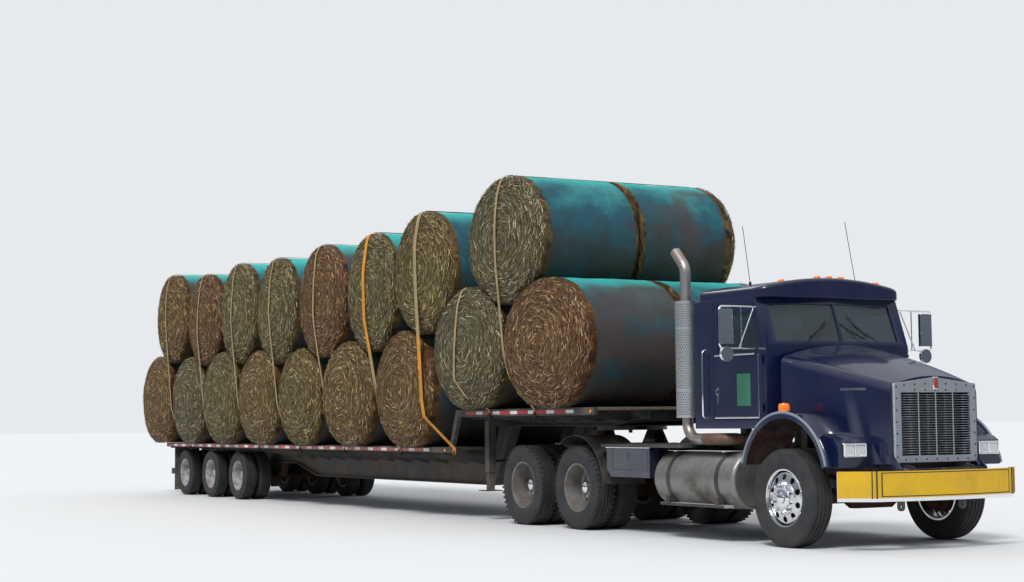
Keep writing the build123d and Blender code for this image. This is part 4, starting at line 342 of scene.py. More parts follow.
def dressed(source, made, edge=0.004, segments=2, limit=28, rounded=(), others=(), pick=None):
    """Stands for a CAD node: the same shape with its outer edges broken, in its finish.

    rounded lists (test of an edge's two ends, radius) for edges that are rounder than the rest,
    and pick tells from a face's middle and normal which of the finishes it wears."""
    shape = merged(source)
    for test, radius in rounded:
        pairs = [e for e in shape.edges if len(e.link_faces) == 2]
        chosen = [e for e in pairs if test(*(v.co for v in e.verts))]
        bmesh.ops.bevel(shape, geom=chosen, offset=radius, segments=5, profile=0.5, affect="EDGES",
                        clamp_overlap=True)
    weight = shape.edges.layers.float.new("bevel_weight_edge")
    for one in shape.edges:
        if len(one.link_faces) == 2 and one.calc_face_angle_signed(0) > math.radians(limit):
            one[weight] = 1.0
    mesh = bpy.data.meshes.new(source + "_finished")
    shape.to_mesh(mesh)
    shape.free()
    mesh.materials.clear()
    for one in (made, *others):
        mesh.materials.append(one)
    choice = [pick(f.center, f.normal) if pick else 0 for f in mesh.polygons]
    mesh.polygons.foreach_set("material_index", np.array(choice, np.int32))
    mesh.polygons.foreach_set("use_smooth", np.ones(len(mesh.polygons), bool))
    piece = bpy.data.objects.new(source + "_finished", mesh)
    scene.collection.objects.link(piece)
    bevel = piece.modifiers.new("edge", "BEVEL")
    bevel.width = edge
    bevel.segments = segments
    bevel.limit_method = "WEIGHT"
    piece.modifiers.new("even", "WEIGHTED_NORMAL").weight = 80
    row = [s for s in frame["record"]["subparts"] if s["node"] == source][0]
    return settle(piece, body_of(source), row["material_slot"], source, sharp=None)


chassis = finish("chassis_black", (0.018, 0.019, 0.022), 0.38, amount=0.55, scale=2.2)
trailer_black = finish("trailer_black", (0.022, 0.023, 0.026), 0.5, amount=0.7, scale=1.6,
                       low_dirt=0.7)
for source, made, edge in (
    ("frame_rails", chassis, 0.004), ("cab_mounts", chassis, 0.004),
    ("trailer_frame", trailer_black, 0.003), ("side_rails", trailer_black, 0.004),
    ("landing_gear", trailer_black, 0.004), ("rear_guard", trailer_black, 0.005),
):
    dressed(source, made, edge)

# Axles, springs, suspension, engine and coupling: forged and cast iron with grease, road dust
# and rust on it, never polished.
PIN_X, PIN_REACH, BORE_EASE = 4.670, 0.031, 0.035     # the facets of the bore clear the pin's
cast = finish("greasy_iron", (0.035, 0.032, 0.03), 0.6, 0.55, dirt=RUST, amount=0.8, scale=4.0,
              bump=0.5)
grease = finish("coupling_grease", (0.02, 0.018, 0.015), 0.22, 0.4, amount=0.4, scale=5.0)
for source, edge in (
    ("steer_axle", 0.006), ("steer_springs", 0.004), ("knuckle_left", 0.004),
    ("knuckle_right", 0.004), ("drive_axles", 0.005), ("drive_suspension", 0.006),
    ("engine", 0.02), ("drive_shafts", 0.003), ("trailer_axles", 0.004),
):
    dressed(source, cast, edge)
coupling = dressed("fifth_wheel", grease, 0.004)
for one in coupling.data.vertices:
    off = Vector((one.co.x - PIN_X, one.co.y, 0))
    if off.length < PIN_REACH:
        one.co += off * BORE_EASE

# Wheels: black tyres with ribbed tread and bulging sides on dished wheels. The steer wheels are
# polished alloy with round hand holes and chrome nut covers; the drive pairs are dull dark steel,
# darkened further as painted shade, with a chrome cap on the hub, the trailer's are pale steel
# with an oil-bath cap.
AROUND = 72             # facets round a rim
STEER_WIDTH, STEER_RIM = 0.280, 0.290
HOLES, HOLE_SIDES, HOLE_WALL = 10, 16, 0.014
NUTS = 10
BLOCKS, BLOCK_EDGE, BLOCK_LONG, BLOCK_WIDE, BLOCK_LEAN = 46, 0.038, 0.013, 0.030, 0.25
BLOCK_SUNK = 0.014
BLOCK_FACES = [(0, 1, 3, 2), (4, 6, 7, 5), (0, 4, 5, 1), (2, 3, 7, 6), (0, 2, 6, 4), (1, 5, 7, 3)]
TREAD_EASE = 0.002      # kept inside the solid of a tyre


def bands(rows, sides, looped=False, open_edge=False):
    """Quads between rows of points; looped joins the last row to the first."""
    faces = []
    for a in range(rows if looped else rows - 1):
        b = (a + 1) % rows
        for i in range(sides - 1 if open_edge else sides):
            j = (i + 1) % sides
            faces.append((a * sides + i, a * sides + j, b * sides + j, b * sides + i))
    return faces


def turned(rows, sides, at=(0, 0, 0), tilt=Matrix.Identity(3), looped=False):
    """Rings of (height, radius) round an upright axis that is tilted and put in its place."""
    angles = [2 * math.pi * k / sides for k in range(sides)]
    points = [Vector(at) + tilt @ Vector((r * math.cos(a), r * math.sin(a), h))
              for h, r in rows for a in angles]
    return points, bands(len(rows), sides, looped)


def wheel_point(at, depth, radius, angle):
    """A point at a depth behind a wheel's outer face; at is (x, z, face, side)."""
    x, z, face, side = at
    return x + radius * math.sin(angle), side * (face - depth), z + radius * math.cos(angle)


def lathe(profile, at, rings=AROUND, closed=False):
    """Turns (depth behind the face, radius) pairs round an axle. Returns points and faces."""
    angles = [2 * math.pi * k / rings for k in range(rings)]
    points = [wheel_point(at, depth, r, angle) for angle in angles for depth, r in profile]
    return points, bands(rings, len(profile), looped=True, open_edge=not closed)


def joined(*parts):
    """Several (points, faces) lists as one."""
    points, faces = [], []
    for more_points, more_faces in parts:
        shift = len(points)
        points.extend(more_points)
        faces.extend(tuple(i + shift for i in f) for f in more_faces)
    return points, faces


def outward_faces(piece, distance=1e-5):
    """Merges a new mesh's doubles and turns its faces outward."""
    shape = bmesh.new()
    shape.from_mesh(piece.data)
    bmesh.ops.remove_doubles(shape, verts=shape.verts, dist=distance)
    bmesh.ops.recalc_face_normals(shape, faces=shape.faces)
    shape.to_mesh(piece.data)
    shape.free()
    return piece


def fitted(name, made, shape, body, slot, sharp=40, sources=()):
    """A piece made from points and faces, on its body."""
    piece = outward_faces(mesh_object(name, *shape, [made]))
    return settle(piece, body, slot, *sources, sharp=sharp)


def tyre(width, radius, seat, at, rings=AROUND):
    """A closed section, turned: bead, bulging side, shoulder, ribbed tread and the same again."""
    side = [
        (0.050, seat), (0.034, seat + 0.010), (0.022, seat + 0.014), (0.020, seat + 0.022),
        (0.010, seat + 0.045), (0.001, seat + 0.085), (0.000, seat + 0.110),
        (0.006, radius - 0.070), (0.005, radius - 0.050), (0.014, radius - 0.030),
        (0.024, radius - 0.010), (0.034, radius - 0.004),
    ]
    tread = [(width * share + off, radius - drop) for share in (0.24, 0.42, 0.58, 0.76)
             for off, drop in ((-0.007, 0), (-0.004, 0.013), (0.004, 0.013), (0.007, 0))]
    back = [(width - depth, r) for depth, r in reversed(side)]
    return lathe(side + tread + back, at, rings, closed=True)


def holed_disc(inner, outer, depth_in, depth_out, hole_at, hole_r, at):
    """A dished disc with round hand holes, each with a short wall behind its edge."""
    points, faces = [], []

    def put(radius, angle, deeper=0.0):
        share = (radius - inner) / (outer - inner)
        depth = depth_in + (depth_out - depth_in) * share + deeper
        points.append(wheel_point(at, depth, radius, angle))

    for number in range(HOLES):
        mid = 2 * math.pi * number / HOLES
        start = len(points)
        for step in range(HOLE_SIDES):
            turn = 2 * math.pi * step / HOLE_SIDES
            c, s = math.cos(turn), math.sin(turn)
            reach = 1 / max(abs(c), abs(s))
            edge_r = hole_at + c * reach * (outer - hole_at if c > 0 else hole_at - inner)
            put(edge_r, mid + s * reach * math.pi / HOLES)
            for deeper in (0.0, HOLE_WALL):
                put(hole_at + c * hole_r, mid + s * hole_r / hole_at, deeper)
        for step in range(HOLE_SIDES):
            a, b = start + 3 * step, start + 3 * ((step + 1) % HOLE_SIDES)
            faces += [(a, b, b + 1, a + 1), (a + 1, b + 1, b + 2, a + 2)]
    return points, faces


def growing_tree(name, *inputs):
    """An empty Geometry Nodes tree, its given sockets and its output node."""
    tree = bpy.data.node_groups.new(name, "GeometryNodeTree")
    for label, kind in (("Geometry", "Geometry"), *inputs, ("Material", "Material")):
        tree.interface.new_socket(label, in_out="INPUT", socket_type="NodeSocket" + kind)
    tree.interface.new_socket("Geometry", in_out="OUTPUT", socket_type="NodeSocketGeometry")
    return tree, tree.nodes.new("NodeGroupInput").outputs, tree.nodes.new("NodeGroupOutput")


def set_last(tree, last, given, out):
    """Ends a tree in Realize Instances and Set Material."""
    real = node(tree, "GeometryNodeRealizeInstances", Geometry=last)
    done = node(tree, "GeometryNodeSetMaterial", Geometry=real, Material=given["Material"])
    feed(tree, out, i0=done)


def grown(piece, tree, body, slot, at=(0, 0, 0), **values):
    """Runs a tree on a piece, leaves the result in it as a plain mesh and hangs it up."""
    step = piece.modifiers.new("grow", "NODES")
    step.node_group = tree
    for item in tree.interface.items_tree:
        if item.in_out == "INPUT" and item.name in values:
            step[item.identifier] = values[item.name]
    applied(piece).transform(Matrix.Translation(at))
    return hung(piece, body)


# Repeats what it is given round the Y axis through the origin.
wreath, given, out = growing_tree("wreath", ("Count", "Int"))
spots = node(wreath, "GeometryNodePoints", Count=given["Count"])
share = maths(wreath, "DIVIDE", node(wreath, "GeometryNodeInputIndex"), given["Count"])
angle = node(wreath, "ShaderNodeCombineXYZ", Y=maths(wreath, "MULTIPLY", share, 2 * math.pi))
copies = node(wreath, "GeometryNodeInstanceOnPoints", Points=spots, Instance=given["Geometry"],
              Rotation=angle)
set_last(wreath, copies, given, out)

# Repeats what it is given along a straight run.
run, given, out = growing_tree("run", ("Count", "Int"), ("Step", "Vector"))
line = node(run, "GeometryNodeMeshLine", {"mode": "OFFSET"}, Count=given["Count"],
            Offset=given["Step"])
copies = node(run, "GeometryNodeInstanceOnPoints", Points=line, Instance=given["Geometry"])
set_last(run, copies, given, out)


def nuts(name, made, at, depth, circle, radius, tall, body):
    """A ring of nuts or nut covers on a disc, their heads a little narrower."""
    x, z, face, side = at
    rows = [(side * tall * h, radius * k) for h, k in ((0.0, 1.0), (0.7, 1.0), (1.0, 0.8))]
    points, faces = turned(rows, 6, (0, 0, circle), Matrix(((1, 0, 0), (0, 0, 1), (0, 1, 0))))
    nut = mesh_object(name, points, [*faces, tuple(range(12, 18))], [made], smooth=False)
    grown(nut, wreath, body, "chrome", (x, side * (face - depth), z), Count=NUTS, Material=made)


def blocks(name, at, width, radius, body):
    """The shoulder blocks of a drive tyre's tread, both edges."""
    x, z, face, side = at
    parts = []
    for depth, lean in ((BLOCK_EDGE, BLOCK_LEAN), (width - BLOCK_EDGE, -BLOCK_LEAN)):
        corners = [
            (sx * BLOCK_LONG + lean * y, y - side * depth, radius - sunk)
            for sunk in (BLOCK_SUNK, 0.0) for y in (-BLOCK_WIDE, BLOCK_WIDE) for sx in (-1, 1)
        ]
        parts.append((corners, BLOCK_FACES))
    piece = outward_faces(mesh_object(name, *joined(*parts), [rubber], smooth=False))
    grown(piece, wreath, body, "tyre", (x, side * face, z), Count=BLOCKS, Material=rubber)


rubber = finish("tyre_rubber", (0.016, 0.017, 0.020), 0.70, dirt=(0.075, 0.072, 0.068),
                amount=0.5, scale=6.0, low_dirt=0.3, bump=0.3)
polished = finish("polished_alloy", (0.80, 0.81, 0.83), 0.12, 1.0, amount=0.25, scale=9.0,
                  bump=0.03)
chrome = finish("chrome_plate", (0.86, 0.87, 0.89), 0.05, 1.0, amount=0.12, scale=7.0,
                low_dirt=0.3, bump=0.02)
pale_steel = finish("painted_wheel_steel", (0.50, 0.52, 0.55), 0.42, 0.2, dirt=(0.16, 0.10, 0.07),
                    amount=0.75, scale=8.0, low_dirt=0.45, bump=0.2)
# The drive wheels' steel: its own dark colour, darkened further as painted shade in the dishes.
dark_shaded_steel = finish("dull_wheel_steel", (0.27, 0.26, 0.25), 0.36, 0.5, dirt=(0.10, 0.07, 0.05),
                    amount=0.7, scale=5.0, low_dirt=0.4)
drum_iron = finish("drum_iron", (0.06, 0.05, 0.045), 0.7, 0.5, dirt=RUST, amount=0.9, scale=12.0)

for side_name, side in SIDES:
    source = "steer_wheel_" + side_name
    low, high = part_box(source)
    radius = (high.z - low.z) / 2
    face = min(abs(low.y), abs(high.y)) + STEER_WIDTH
    at = ((low.x + high.x) / 2, (low.z + high.z) / 2, face, side)
    s, back = STEER_RIM, STEER_WIDTH - 0.042
    fitted("steer_tyre_" + side_name, rubber, tyre(STEER_WIDTH, radius - TREAD_EASE, s, at), source,
           "tyre", 30, (source,))
    rim = lathe([
        (STEER_WIDTH - 0.02, s + 0.012), (STEER_WIDTH - 0.02, s - 0.006), (0.16, s - 0.03),
        (0.10, s - 0.03), (0.04, s - 0.008), (0.030, s - 0.006), (0.026, s + 0.010),
        (0.030, s + 0.013), (0.044, s + 0.012), (0.06, s),
    ], at)
    dish = lathe([(0.10, s - 0.028), (0.055, s - 0.026), (0.048, s - 0.034)], at)
    holes = holed_disc(0.178, s - 0.034, 0.030, 0.048, 0.218, 0.032, at)
    bolt_face = lathe([(0.030, 0.178), (0.020, 0.172), (0.018, 0.110)], at)
    fitted("steer_rim_" + side_name, polished, joined(rim, dish, holes, bolt_face), source,
           "chrome", 35)
    hub = lathe([
        (0.020, 0.112), (0.004, 0.108), (-0.004, 0.096), (-0.006, 0.062), (-0.022, 0.058),
        (-0.030, 0.040), (-0.033, 0.0),
    ], at, 40)
    fitted("steer_hub_" + side_name, chrome, hub, source, "chrome", 35)
    nuts("steer_nuts_" + side_name, chrome, at, 0.021, 0.1425, 0.019, 0.045, source)
    drum = lathe([
        (0.075, 0.06), (0.075, 0.200), (back - 0.003, 0.205), (back, 0.190), (back, 0.06),
    ], at, 48)
    fitted("steer_drum_" + side_name, drum_iron, drum, source, "tyre", 35)

# Each row: count of axles, tyre width, pitch of a pair, rim's seat, nut circle, rim's and cap's
# finish.
for row, axles, width, pitch, seat, circle_r, rim_mat, cap_mat in (
    ("drive", 2, 0.275, 0.325, 0.290, 0.1425, dark_shaded_steel, chrome),
    ("trailer", 3, 0.240, 0.285, 0.250, 0.1375, pale_steel, pale_steel),
):
    for number, side_name, side in [(n, *s) for n in range(1, axles + 1) for s in SIDES]:
        source, tag = f"{row}_wheels_{number}_{side_name}", f"{number}_{side_name}"
        low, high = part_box(source)
        radius = (high.z - low.z) / 2
        face = max(abs(low.y), abs(high.y))
        x, z = (low.x + high.x) / 2, (low.z + high.z) / 2
        at = (x, z, face, side)
        places = [("outer", at), ("inner", (x, z, face - pitch, side))]
        tyres = [tyre(width, radius - TREAD_EASE, seat, one, 64) for _, one in places]
        fitted(f"{row}_tyres_{tag}", rubber, joined(*tyres), source, "tyre", 30, (source,))
        if row == "drive":
            for label, one in places:
                blocks(f"drive_tread_{label}_{tag}", one, width, radius, source)
        disc, bore, back = width - 0.016, seat - 0.040, pitch + width
        outer_rim = lathe([
            (0.046, seat + 0.012), (0.032, seat + 0.013), (0.027, seat + 0.008),
            (0.030, seat - 0.008), (0.050, seat - 0.014), (disc - 0.05, seat - 0.034),
            (disc - 0.01, bore), (disc, bore - 0.012),
        ], at)
        holes = holed_disc(0.165, bore - 0.012, disc - 0.012, disc, (bore + 0.155) / 2, 0.022, at)
        bolt_face = lathe([(disc - 0.012, 0.165), (disc - 0.014, 0.09)], at, 48)
        inner_rim = lathe([
            (width, seat - 0.01), (width + 0.012, seat + 0.012), (pitch + 0.03, seat - 0.008),
            (pitch + 0.05, seat - 0.014), (back - 0.05, seat - 0.016), (back - 0.027, seat + 0.012),
            (back - 0.03, seat - 0.012), (disc + 0.03, seat - 0.02), (disc + 0.02, 0.15),
        ], at, 48)
        fitted(f"{row}_rims_{tag}", rim_mat, joined(outer_rim, holes, bolt_face, inner_rim), source,
               "aluminium", 35)
        drum_r = 0.2 * seat / 0.29
        drum = lathe([(disc + 0.02, 0.07), (disc + 0.03, drum_r), (back - 0.045, drum_r),
                      (back - 0.042, 0.06)], at, 40)
        fitted(f"{row}_drums_{tag}", drum_iron, drum, source, "tyre", 35)
        top = disc - 0.145
        cap = lathe([
            (disc - 0.01, 0.105), (disc - 0.05, 0.098), (disc - 0.055, 0.080),
            (top + 0.045, 0.076), (top + 0.020, 0.068), (top + 0.006, 0.045), (top, 0.0),
        ], at, 40)
        fitted(f"{row}_hub_{tag}", cap_mat, cap, source, "chrome", 35)
        nuts(f"{row}_nuts_{tag}", cap_mat, at, disc - 0.013, circle_r, 0.016, 0.030, source)

# Cab, doors, roof and hood: sheet metal in deep navy under a clear coat, dusty toward the sills.
# The arches are red-brown inside, and a pale tube along each arch's edge is a painted highlight.
low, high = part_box("steer_wheel_left")
STEER = (low.x + high.x) / 2
CAB_REAR, CAB_CORNER, SCREEN_FOOT, SCREEN_SLOPE = STEER - 1.77, STEER - 0.46, 2.11, 0.19 / 0.53
CAB_SIDE = 1.0
ARCH_MIDDLE = (STEER + 0.03, 0.69)
ARCH_RADIUS, ARCH_OUT = 0.69, 1.2
navy = finish("navy_paint", (0.002, 0.007, 0.040), 0.30, coat=0.75, dirt=(0.05, 0.05, 0.055),
              amount=0.14, scale=2.4, low_dirt=0.8, bump=0.012)
shade(navy, Specular_IOR_Level=0.25)
liner = finish("arch_liner", (0.060, 0.018, 0.012), 0.8, amount=0.8, scale=5.0)
# Pale blue-grey for the tubes on the arch edges: a painted highlight on the navy fenders' rims.
arch_edge_highlight = finish("worn_edging", (0.20, 0.25, 0.31), 0.45, amount=0.4, scale=6.0)


def cab_corner(a, b):
    """True for an upright edge at one of the cab's four corners."""
    x, z = (a.x + b.x) / 2, (a.z + b.z) / 2
    front = CAB_CORNER - max(0.0, z - SCREEN_FOOT) * SCREEN_SLOPE
    upright = abs(a.z - b.z) > 0.3 and min(abs(a.y), abs(b.y)) > CAB_SIDE - 1e-3
    return upright and min(abs(x - CAB_REAR), abs(x - front)) < 0.01


def in_arch(middle, normal):
    """1 for a face that looks at the wheel from inside the arch, else 0."""
    off = Vector((middle.x - ARCH_MIDDLE[0], 0, middle.z - ARCH_MIDDLE[1]))
    near = off.length < ARCH_RADIUS + 0.03 and abs(middle.y) > 0.55
    return 1 if near and normal.dot(off) < -0.2 * off.length else 0


dressed("cab_shell", navy, 0.005, rounded=((cab_corner, 0.045),))
dressed("cab_roof", navy, 0.006)
dressed("hood_shell", navy, 0.009, 3, others=(liner,), pick=in_arch)
dressed("fender_tails", navy, 0.006, others=(liner,), pick=in_arch)
for side_name in ("left", "right"):
    dressed("door_" + side_name, navy, 0.005)


def sweep(path, section):
    """Carries a closed section of (across, up) pairs along a path. Returns points and faces."""
    path = [Vector(p) for p in path]
    points = []
    level = None
    for number, at in enumerate(path):
        ahead = path[min(number + 1, len(path) - 1)] - path[max(number - 1, 0)]
        ahead.normalize()
        if level is None:
            level = Vector((0, 0, 1)) if abs(ahead.z) < 0.9 else Vector((1, 0, 0))
        across = ahead.cross(level).normalized()
        level = across.cross(ahead).normalized()
        points.extend(at + across * u + level * v for u, v in section)
    count = len(section)
    ends = [tuple(range(count))[::-1], tuple(range(len(points) - count, len(points)))]
    return points, bands(len(path), count) + ends


def circle(radius, sides=12):
    """A round section."""
    angles = [2 * math.pi * i / sides for i in range(sides)]
    return [(radius * math.cos(a), radius * math.sin(a)) for a in angles]


def rounded_path(corners, bend, steps=8):
    """Straight runs joined by arcs of about one radius."""
    corners = [Vector(c) for c in corners]
    path = [corners[0]]
    for before, at, after in zip(corners, corners[1:], corners[2:]):
        back, ahead = (before - at), (after - at)
        reach = min(bend, back.length / 2, ahead.length / 2)
        a, b = at + back.normalized() * reach, at + ahead.normalized() * reach
        for step in range(steps + 1):
            t = step / steps
            path.append(a * (1 - t) ** 2 + at * 2 * t * (1 - t) + b * t * t)
    return path + [corners[-1]]


def span(side, a, b):
    """Two distances from the middle as low and high places on one side."""
    return sorted((side * a, side * b))


TRACTOR, HOOD = body_of("cab_shell"), body_of("hood_shell")
EDGING_OUT, EDGING_STEPS = 0.012, 48
# Pale tubes round the arches' edges: a painted highlight on the fenders' rims.
for label, first, last, body in (("hood", 13, 128, HOOD), ("tail", 130, 166, TRACTOR)):
    for side_name, side in SIDES:
        path = []
        for step in range(EDGING_STEPS + 1):
            angle = math.radians(first + (last - first) * step / EDGING_STEPS)
            path.append((ARCH_MIDDLE[0] + (ARCH_RADIUS + EDGING_OUT) * math.cos(angle),
                         side * (ARCH_OUT - 0.004),
                         ARCH_MIDDLE[1] + (ARCH_RADIUS + EDGING_OUT) * math.sin(angle)))
        fitted(f"{label}_edging_{side_name}", arch_edge_highlight, sweep(path, circle(0.014, 10)), body, "paint")

# Glass: tinted panes set in the cab and the doors. The screen is in two halves, each with a black
# wiper parked at its foot.
glass = shade(new_material("tinted_glass"), Base_Color=(0.20, 0.30, 0.34, 1), Roughness=0.03,
              IOR=1.3, Transmission_Weight=0.92, Coat_Weight=0.6)
for source in ("cab_glass", "door_glass_left", "door_glass_right"):
    dressed(source, glass, 0.0012)
seal = finish("black_rubber", (0.012, 0.012, 0.013), 0.6, amount=0.3, scale=8.0)
for side_name, side in SIDES:
    arm = rounded_path([(STEER - 0.365, side * 0.46, 2.125), (STEER - 0.35, side * 0.46, 2.155),
                        (STEER - 0.425, side * 0.20, 2.335)], 0.02)
    blade = rounded_path([(STEER - 0.433, side * 0.39, 2.215), (STEER - 0.433, side * 0.20, 2.335),
                          (STEER - 0.433, side * 0.10, 2.435)], 0.05)
    section = [(-0.004, -0.012), (0.004, -0.012), (0.004, 0.012), (-0.004, 0.012)]
    fitted("wiper_" + side_name, seal, joined(sweep(arm, circle(0.006, 8)), sweep(blade, section)),
           TRACTOR, "trim")

# Cab inside: a dark moulded vinyl dashboard under the screen and two padded, cloth-covered seats
# on the floor.
vinyl = finish("dash_vinyl", (0.030, 0.032, 0.036), 0.6, amount=0.15, scale=9.0)
cloth = finish("seat_cloth", (0.055, 0.060, 0.075), 0.85, amount=0.2, scale=12.0, bump=0.4)
dressed("dashboard", vinyl, 0.012, 3)
seats = dressed("seats", cloth, 0.045, 5)

# Grille: a pale riveted surround, bright upright bars and a bank of dark slats, with the finned
# radiator behind it.
GRILLE_OPENING = (0.466, 0.944, 1.580)
GRILLE_BARS, BAR_REACH = (-0.2325, 0.0, 0.2325), 0.0072
surround = finish("grille_surround", (0.66, 0.70, 0.72), 0.38, 0.35, dirt=(0.16, 0.17, 0.18),
                  amount=0.5, scale=16.0, low_dirt=0.1, bump=0.1)
slat = finish("slat_steel", (0.30, 0.33, 0.37), 0.35, 0.6, amount=0.25, scale=10.0, low_dirt=0.1)


def grille_zone(middle, normal):
    """0 the surround, 1 a slat, 2 a bar."""
    half, foot, head = GRILLE_OPENING
    if abs(middle.y) > half or not foot < middle.z < head:
        return 0
    return 2 if min(abs(middle.y - bar) for bar in GRILLE_BARS) < BAR_REACH else 1


dressed("grille", surround, 0.002, others=(slat, chrome), pick=grille_zone)
low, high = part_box("grille")
AHEAD = Matrix(((0, 0, 1), (1, 0, 0), (0, 1, 0)))
RIVET = ((-0.001, 0.012), (0.003, 0.009), (0.0045, 0.0))
rivets = [
    turned(RIVET, 8, (high.x, y, z), AHEAD) for y, z in
    [(s * 0.525, 0.93 + 0.118 * i) for s in (1, -1) for i in range(7)]
    + [(-0.42 + 0.14 * i, 0.905) for i in range(7)]
    + [(-0.42 + 0.14 * i, 1.655 + 0.02 * (1 - abs(i - 3) / 3)) for i in range(7)]
    + [(-0.28 + 0.14 * i, 1.605) for i in range(5)]
]
fitted("grille_rivets", seal, joined(*rivets), HOOD, "chrome")


def slab(low, high, round_off=0.01, axis="x"):
    """A block with its four long corners rounded, as points and faces; axis is its long way."""
    long_way, u, v = {"x": (0, 1, 2), "y": (1, 2, 0), "z": (2, 0, 1)}[axis]
    r = min(round_off, (high[u] - low[u]) / 2 - 1e-4, (high[v] - low[v]) / 2 - 1e-4)
    section = []
    for cu, cv, start in ((high[u] - r, high[v] - r, 0), (low[u] + r, high[v] - r, 90),
                          (low[u] + r, low[v] + r, 180), (high[u] - r, low[v] + r, 270)):
        for step in range(5):
            angle = math.radians(start + 22.5 * step)
            section.append((cu + r * math.cos(angle), cv + r * math.sin(angle)))
    count = len(section)
    points = []
    length = high[long_way] - low[long_way]
    soft = min(r * 0.5, length / 4)
    for place_at, shrink in ((low[long_way], soft), (low[long_way] + soft, 0),
                             (high[long_way] - soft, 0), (high[long_way], soft)):
        mid_u, mid_v = (low[u] + high[u]) / 2, (low[v] + high[v]) / 2
        for a, b in section:
            point = [0, 0, 0]
            point[long_way] = place_at
            point[u] = a - shrink * (1 if a > mid_u else -1)
            point[v] = b - shrink * (1 if b > mid_v else -1)
            points.append(tuple(point))
    ends = [tuple(range(count))[::-1], tuple(range(3 * count, 4 * count))]
    return points, bands(4, count) + ends


core = finish("radiator_core", (0.015, 0.016, 0.017), 0.55, 0.4, amount=0.5, scale=10.0)
parts = [slab((STEER + 0.86, -0.43, 0.90), (STEER + 0.915, 0.43, 1.60), 0.012)]
parts += [slab((STEER + 0.915, -0.41 + 0.02 * i, 0.93), (STEER + 0.922, -0.404 + 0.02 * i, 1.57),
               0.002) for i in range(42)]
fitted("radiator", core, joined(*parts), TRACTOR, "iron")

# Headlamps: a chrome housing on each fender's nose with two square lamps behind clear lenses that
# have upright ribs.
lens = shade(new_material("headlamp_lens"), Base_Color=(0.90, 0.92, 0.93, 1), Roughness=0.08,
             Transmission_Weight=0.35, Coat_Weight=1.0, Metallic=0.25)
low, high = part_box("headlamps")
front = high.x
for side_name, side in SIDES:
    a, b = span(side, 0.762, 1.048)
    middle = (a + b) / 2
    x0, x1 = low.x - 0.01, front + 0.012
    bezel = [
        slab((x0, a, high.z - 0.016), (x1, b, high.z + 0.004), 0.008, "y"),
        slab((x0, a, low.z - 0.004), (x1, b, low.z + 0.016), 0.008, "y"),
        slab((x0, a - 0.002, low.z), (x1, a + 0.016, high.z), 0.008, "z"),
        slab((x0, b - 0.016, low.z), (x1, b + 0.002, high.z), 0.008, "z"),
        slab((x0, middle - 0.009, low.z), (x1 - 0.002, middle + 0.009, high.z), 0.006, "z"),
    ]
    fitted("lamp_bezel_" + side_name, chrome, joined(*bezel), HOOD, "chrome")
    lenses = []
    width = (b - a) / 2 - 0.021
    for start in (a + 0.014, middle + 0.007):
        lenses.append(slab((low.x, start, low.z + 0.012),
                           (front + 0.002, start + width, high.z - 0.012), 0.012))
        lenses += [slab((front, start + 0.008 + 0.0115 * i, low.z + 0.02),
                        (front + 0.005, start + 0.012 + 0.0115 * i, high.z - 0.02), 0.0018, "z")
                   for i in range(10)]
    fitted("lamp_lenses_" + side_name, lens, joined(*lenses), HOOD, "glass", sources=("headlamps",))

# Amber lamps: moulded domes, five along the roof's brow on their solids' feet, and a round one on
# a chrome seat on each fender.
amber = shade(new_material("amber_lens"), Base_Color=(0.95, 0.22, 0.015, 1), Roughness=0.12,
              Transmission_Weight=0.25, Coat_Weight=1.0, Emission_Color=(0.9, 0.2, 0.01, 1),
              Emission_Strength=0.25)


def solids_of(source):
    """The corners of each closed solid in a CAD node, one array per solid."""
    shape = merged(source)
    seen, solids = set(), []
    for first in shape.verts:
        if first in seen:
            continue
        seen.add(first)
        heap, found = [first], []
        while heap:
            one = heap.pop()
            found.append(one.co[:])
            for edge in one.link_edges:
                other = edge.other_vert(one)
                if other not in seen:
                    seen.add(other)
                    heap.append(other)
        solids.append(np.array(found))
    shape.free()
    return solids


domes = []
for corners in solids_of("roof_lamps"):
    middle = corners[:, 2].mean()
    foot = Vector(corners[corners[:, 2] < middle].mean(axis=0))
    lean = Vector(corners[corners[:, 2] >= middle].mean(axis=0)) - foot
    wide, tall = float(np.ptp(corners[:, 0])) * 0.6, lean.length
    tilt = Vector((0, 0, 1)).rotation_difference(lean).to_matrix()
    shares = ((0.0, 1.0), (0.40, 1.0), (0.66, 0.93), (0.86, 0.76), (0.97, 0.45), (1.0, 0.0))
    domes.append(turned([(tall * h, wide * r) for h, r in shares], 24, foot, tilt))
fitted("roof_lamps_finished", amber, joined(*domes), TRACTOR, "amber", sources=("roof_lamps",))
FENDER_LAMP = ((0.0, 0.058), (0.012, 0.060), (0.075, 0.060), (0.092, 0.050), (0.100, 0.026),
               (0.102, 0.0))
LAMP_SEAT = ((0.0, 0.066), (0.016, 0.066), (0.018, 0.058))
for side_name, side in SIDES:
    at = (STEER - 0.02, side * 1.12, ARCH_MIDDLE[1] + ARCH_RADIUS + EDGING_OUT)
    fitted("fender_lamp_" + side_name, amber, turned(FENDER_LAMP, 24, at), HOOD, "amber")
    fitted("fender_lamp_seat_" + side_name, chrome, turned(LAMP_SEAT, 24, at), HOOD, "chrome")

